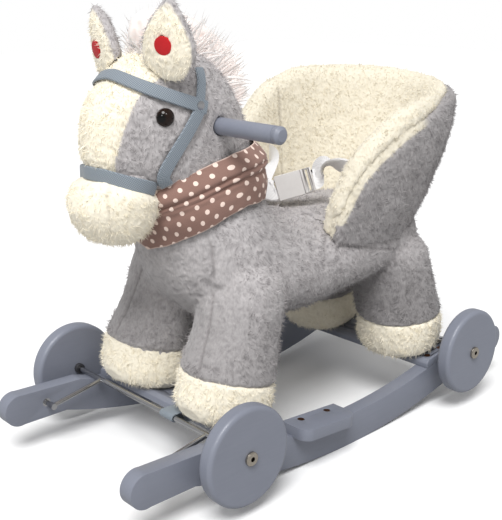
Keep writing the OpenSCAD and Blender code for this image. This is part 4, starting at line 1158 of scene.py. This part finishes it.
# Belts, on the routes of the part's source
BUCKLE_MID = np.array([10, 37, 291.0])
RELEASE = np.array([0.600714, 0.755898, 0.260309])
WALL_ACROSS = np.array([0.35, -0.3, 1.0])
BELT_W = 25
BELT_T = 1.7
LEFT_BELT = [13.6, 18.3], [[25, 51, 308], [36, 51, 314], [54, 56, 314], [74, 57, 311], [96, 55, 308]]
RIGHT_BELT = [-32.6, -38], [[-28, 4, 287], [-34, 21, 303], [-46, 42, 310], [-66, 60, 311], [-86, 75, 309],
                            [-98, 84, 307]]


def make_belts():
    view = np.array([0.7, -0.65, 0.28])
    face = np.cross(RELEASE, np.cross(view, RELEASE))
    face /= np.linalg.norm(face)
    across = np.cross(RELEASE, face)
    for node, route in (("belt_left", LEFT_BELT), ("belt_right", RIGHT_BELT)):
        start = [BUCKLE_MID + o * RELEASE for o in route[0]]
        rows = spline(np.array(start + [np.array(p, float) for p in route[1]]), 8)
        run = unit_rows(np.gradient(rows, axis=0))
        t = np.linspace(0, 1, len(rows))[:, None]
        wide = across * (1 - t) + WALL_ACROSS * t
        wide = unit_rows(wide - run * (wide * run).sum(1)[:, None])
        out = np.cross(run, wide)
        left = node == "belt_left"
        piece = ribbon(node + "_web", rows - 0.5 * BELT_T * out, wide, out, BELT_W, BELT_T, BELT,
                       body=None if left else ROOT)
        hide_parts(node)
        if left:
            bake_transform(piece)


# Locking straps: the solids' loops with rounded edges and a woven face
def make_lock_straps():
    for end in ("front", "rear"):
        node = end + "_lock_strap"
        work = new_object("work", nodes[node].data.copy())
        modify(work, "WELD", merge_threshold=0.00002)
        modify(work, "BEVEL", width=0.0004, segments=2, limit_method="ANGLE")
        mesh = baked(work)
        p = points_of(mesh) / MM
        put_map(mesh, "UVMap", np.stack([p[:, 1] + p[:, 2], p[:, 0]], axis=1))
        piece = dress(node + "_web", mesh, BRIDLE)
        mesh.set_sharp_from_angle(angle=math.radians(35))
        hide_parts(node)
        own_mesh(piece)


# Finishes and rounded edges of the rigid nodes
FINISHES = (
    (PAINT, 2.6, ("rocker_left", "rocker_right")),
    (PAINT, 1.8, ("footrest_left", "footrest_right")),
    (PAINT, 1.4, ("front_crossbar", "rear_crossbar", "handle_bar")),
    (PAINT, 0, [corner + "_wheel" for corner in CORNERS]),
    (CHROME, 0, ("pivot_bushes", "front_wheel_bracket", "rear_wheel_bracket", "leg_bolts")),
    (CHROME, 0.4, ("bridle_rivets",)),
    (BRONZE, 0, ("crossbar_screws", "footrest_screws")),
    (DARK, 0.3, ("front_axle_collars", "rear_axle_collars", "sound_capsules")),
    (WOOD, 1.0, ("seat_board", "backrest_board", "neck_board", "leg_posts")),
    (RED, 0.8, ("ear_button_left", "ear_button_right")),
    (WHITE, 1.2, ("buckle_socket", "buckle_clip")),
)


NUT_SOCKET = 2.65 * MM


# Cap nuts: nickel, with painted shade in the socket round the axle.
def nut_material(end):
    axle = middle_of(end + "_cap_nuts").yz
    return metal_material(end + "_nickel_socket_shade", rgb(190, 182, 170), rgb(160, 152, 140), 0.25, axle, NUT_SOCKET)


def finish_nodes():
    finishes = FINISHES + ((eye_material(EYE_APEX), 0, ("eyes",)),
                           *((nut_material(end), 0.4, (end + "_cap_nuts",)) for end in ("front", "rear")))
    for material, edge, names in finishes:
        for n in names:
            obj = nodes[n]
            obj.data.materials.clear()
            obj.data.materials.append(material)
            obj.data.polygons.foreach_set("use_smooth", [True] * len(obj.data.polygons))
            obj.data.set_sharp_from_angle(angle=math.radians(32))
            if edge:
                modify(obj, "WELD", merge_threshold=0.00001)
                modify(obj, "BEVEL", width=edge * MM, segments=3, limit_method="ANGLE",
                       angle_limit=math.radians(40), harden_normals=False)


# Floor, light and background
def aimed_light(name, kind, place, target, power):
    data = bpy.data.lights.new(name, kind)
    data.energy = power
    light = new_object(name, data)
    light.location = place
    light.rotation_mode = "QUATERNION"
    light.rotation_quaternion = (Vector(target) - Vector(place)).to_track_quat("-Z", "Y")
    return data


SKY_LIGHT = 0.5
FLOOR_BOUNCE = 0.5
FLOOR_SEEN = 0.97
KEY_RUN = (-0.36, 0.43, -0.83)


def seen_or(tree, seen, bounced):
    """One value where the camera sees a surface, another for the light that it sends on."""
    direct = tree.nodes.new("ShaderNodeLightPath").outputs["Is Camera Ray"]
    return gain(tree, direct, seen - bounced, bounced)


def make_stage():
    half = 6.0
    floor = bpy.data.meshes.new("floor")
    corners = [(-half, -half, 0), (half, -half, 0), (half, half, 0), (-half, half, 0)]
    floor.from_pydata(corners, [], [(0, 1, 2, 3)])
    obj = new_object("floor", floor)
    material, tree, shader = nodes_of("pale_floor")
    set_values(shader, Base_Color=seen_or(tree, FLOOR_SEEN, FLOOR_BOUNCE))
    finish_shader(shader, 0.9, specular=0.1)
    floor.materials.append(material)
    world = bpy.data.worlds.new("studio")
    bpy.context.scene.world = world
    world.use_nodes = True
    tree = world.node_tree
    sky = seen_or(tree, 1.0, SKY_LIGHT)
    set_values(tree.nodes["Background"], Color=(1.0, 1.0, 1.0, 1), Strength=sky)
    key = aimed_light("key", "SUN", (0, 0, 0), KEY_RUN, 2.75)
    key.angle = math.radians(28)
    catch = aimed_light("catch", "AREA", (0.9, -1.8, 1.2), (0, -0.2, 0.3), 5)
    catch.shape = "DISK"
    catch.size = 0.35
    spot = aimed_light("spot", "SPOT", (0.8, -0.25, 1.05), (0, -0.14, 0.43), 8)
    spot.spot_size = math.radians(26)
    spot.spot_blend = 1.0
    spot.shadow_soft_size = 0.12
    bpy.context.scene.view_settings.view_transform = "Standard"


make_camera()
make_plush()
make_mane()
make_tail()
make_bridle()
make_scarf()
make_belts()
make_lock_straps()
finish_nodes()
make_stage()
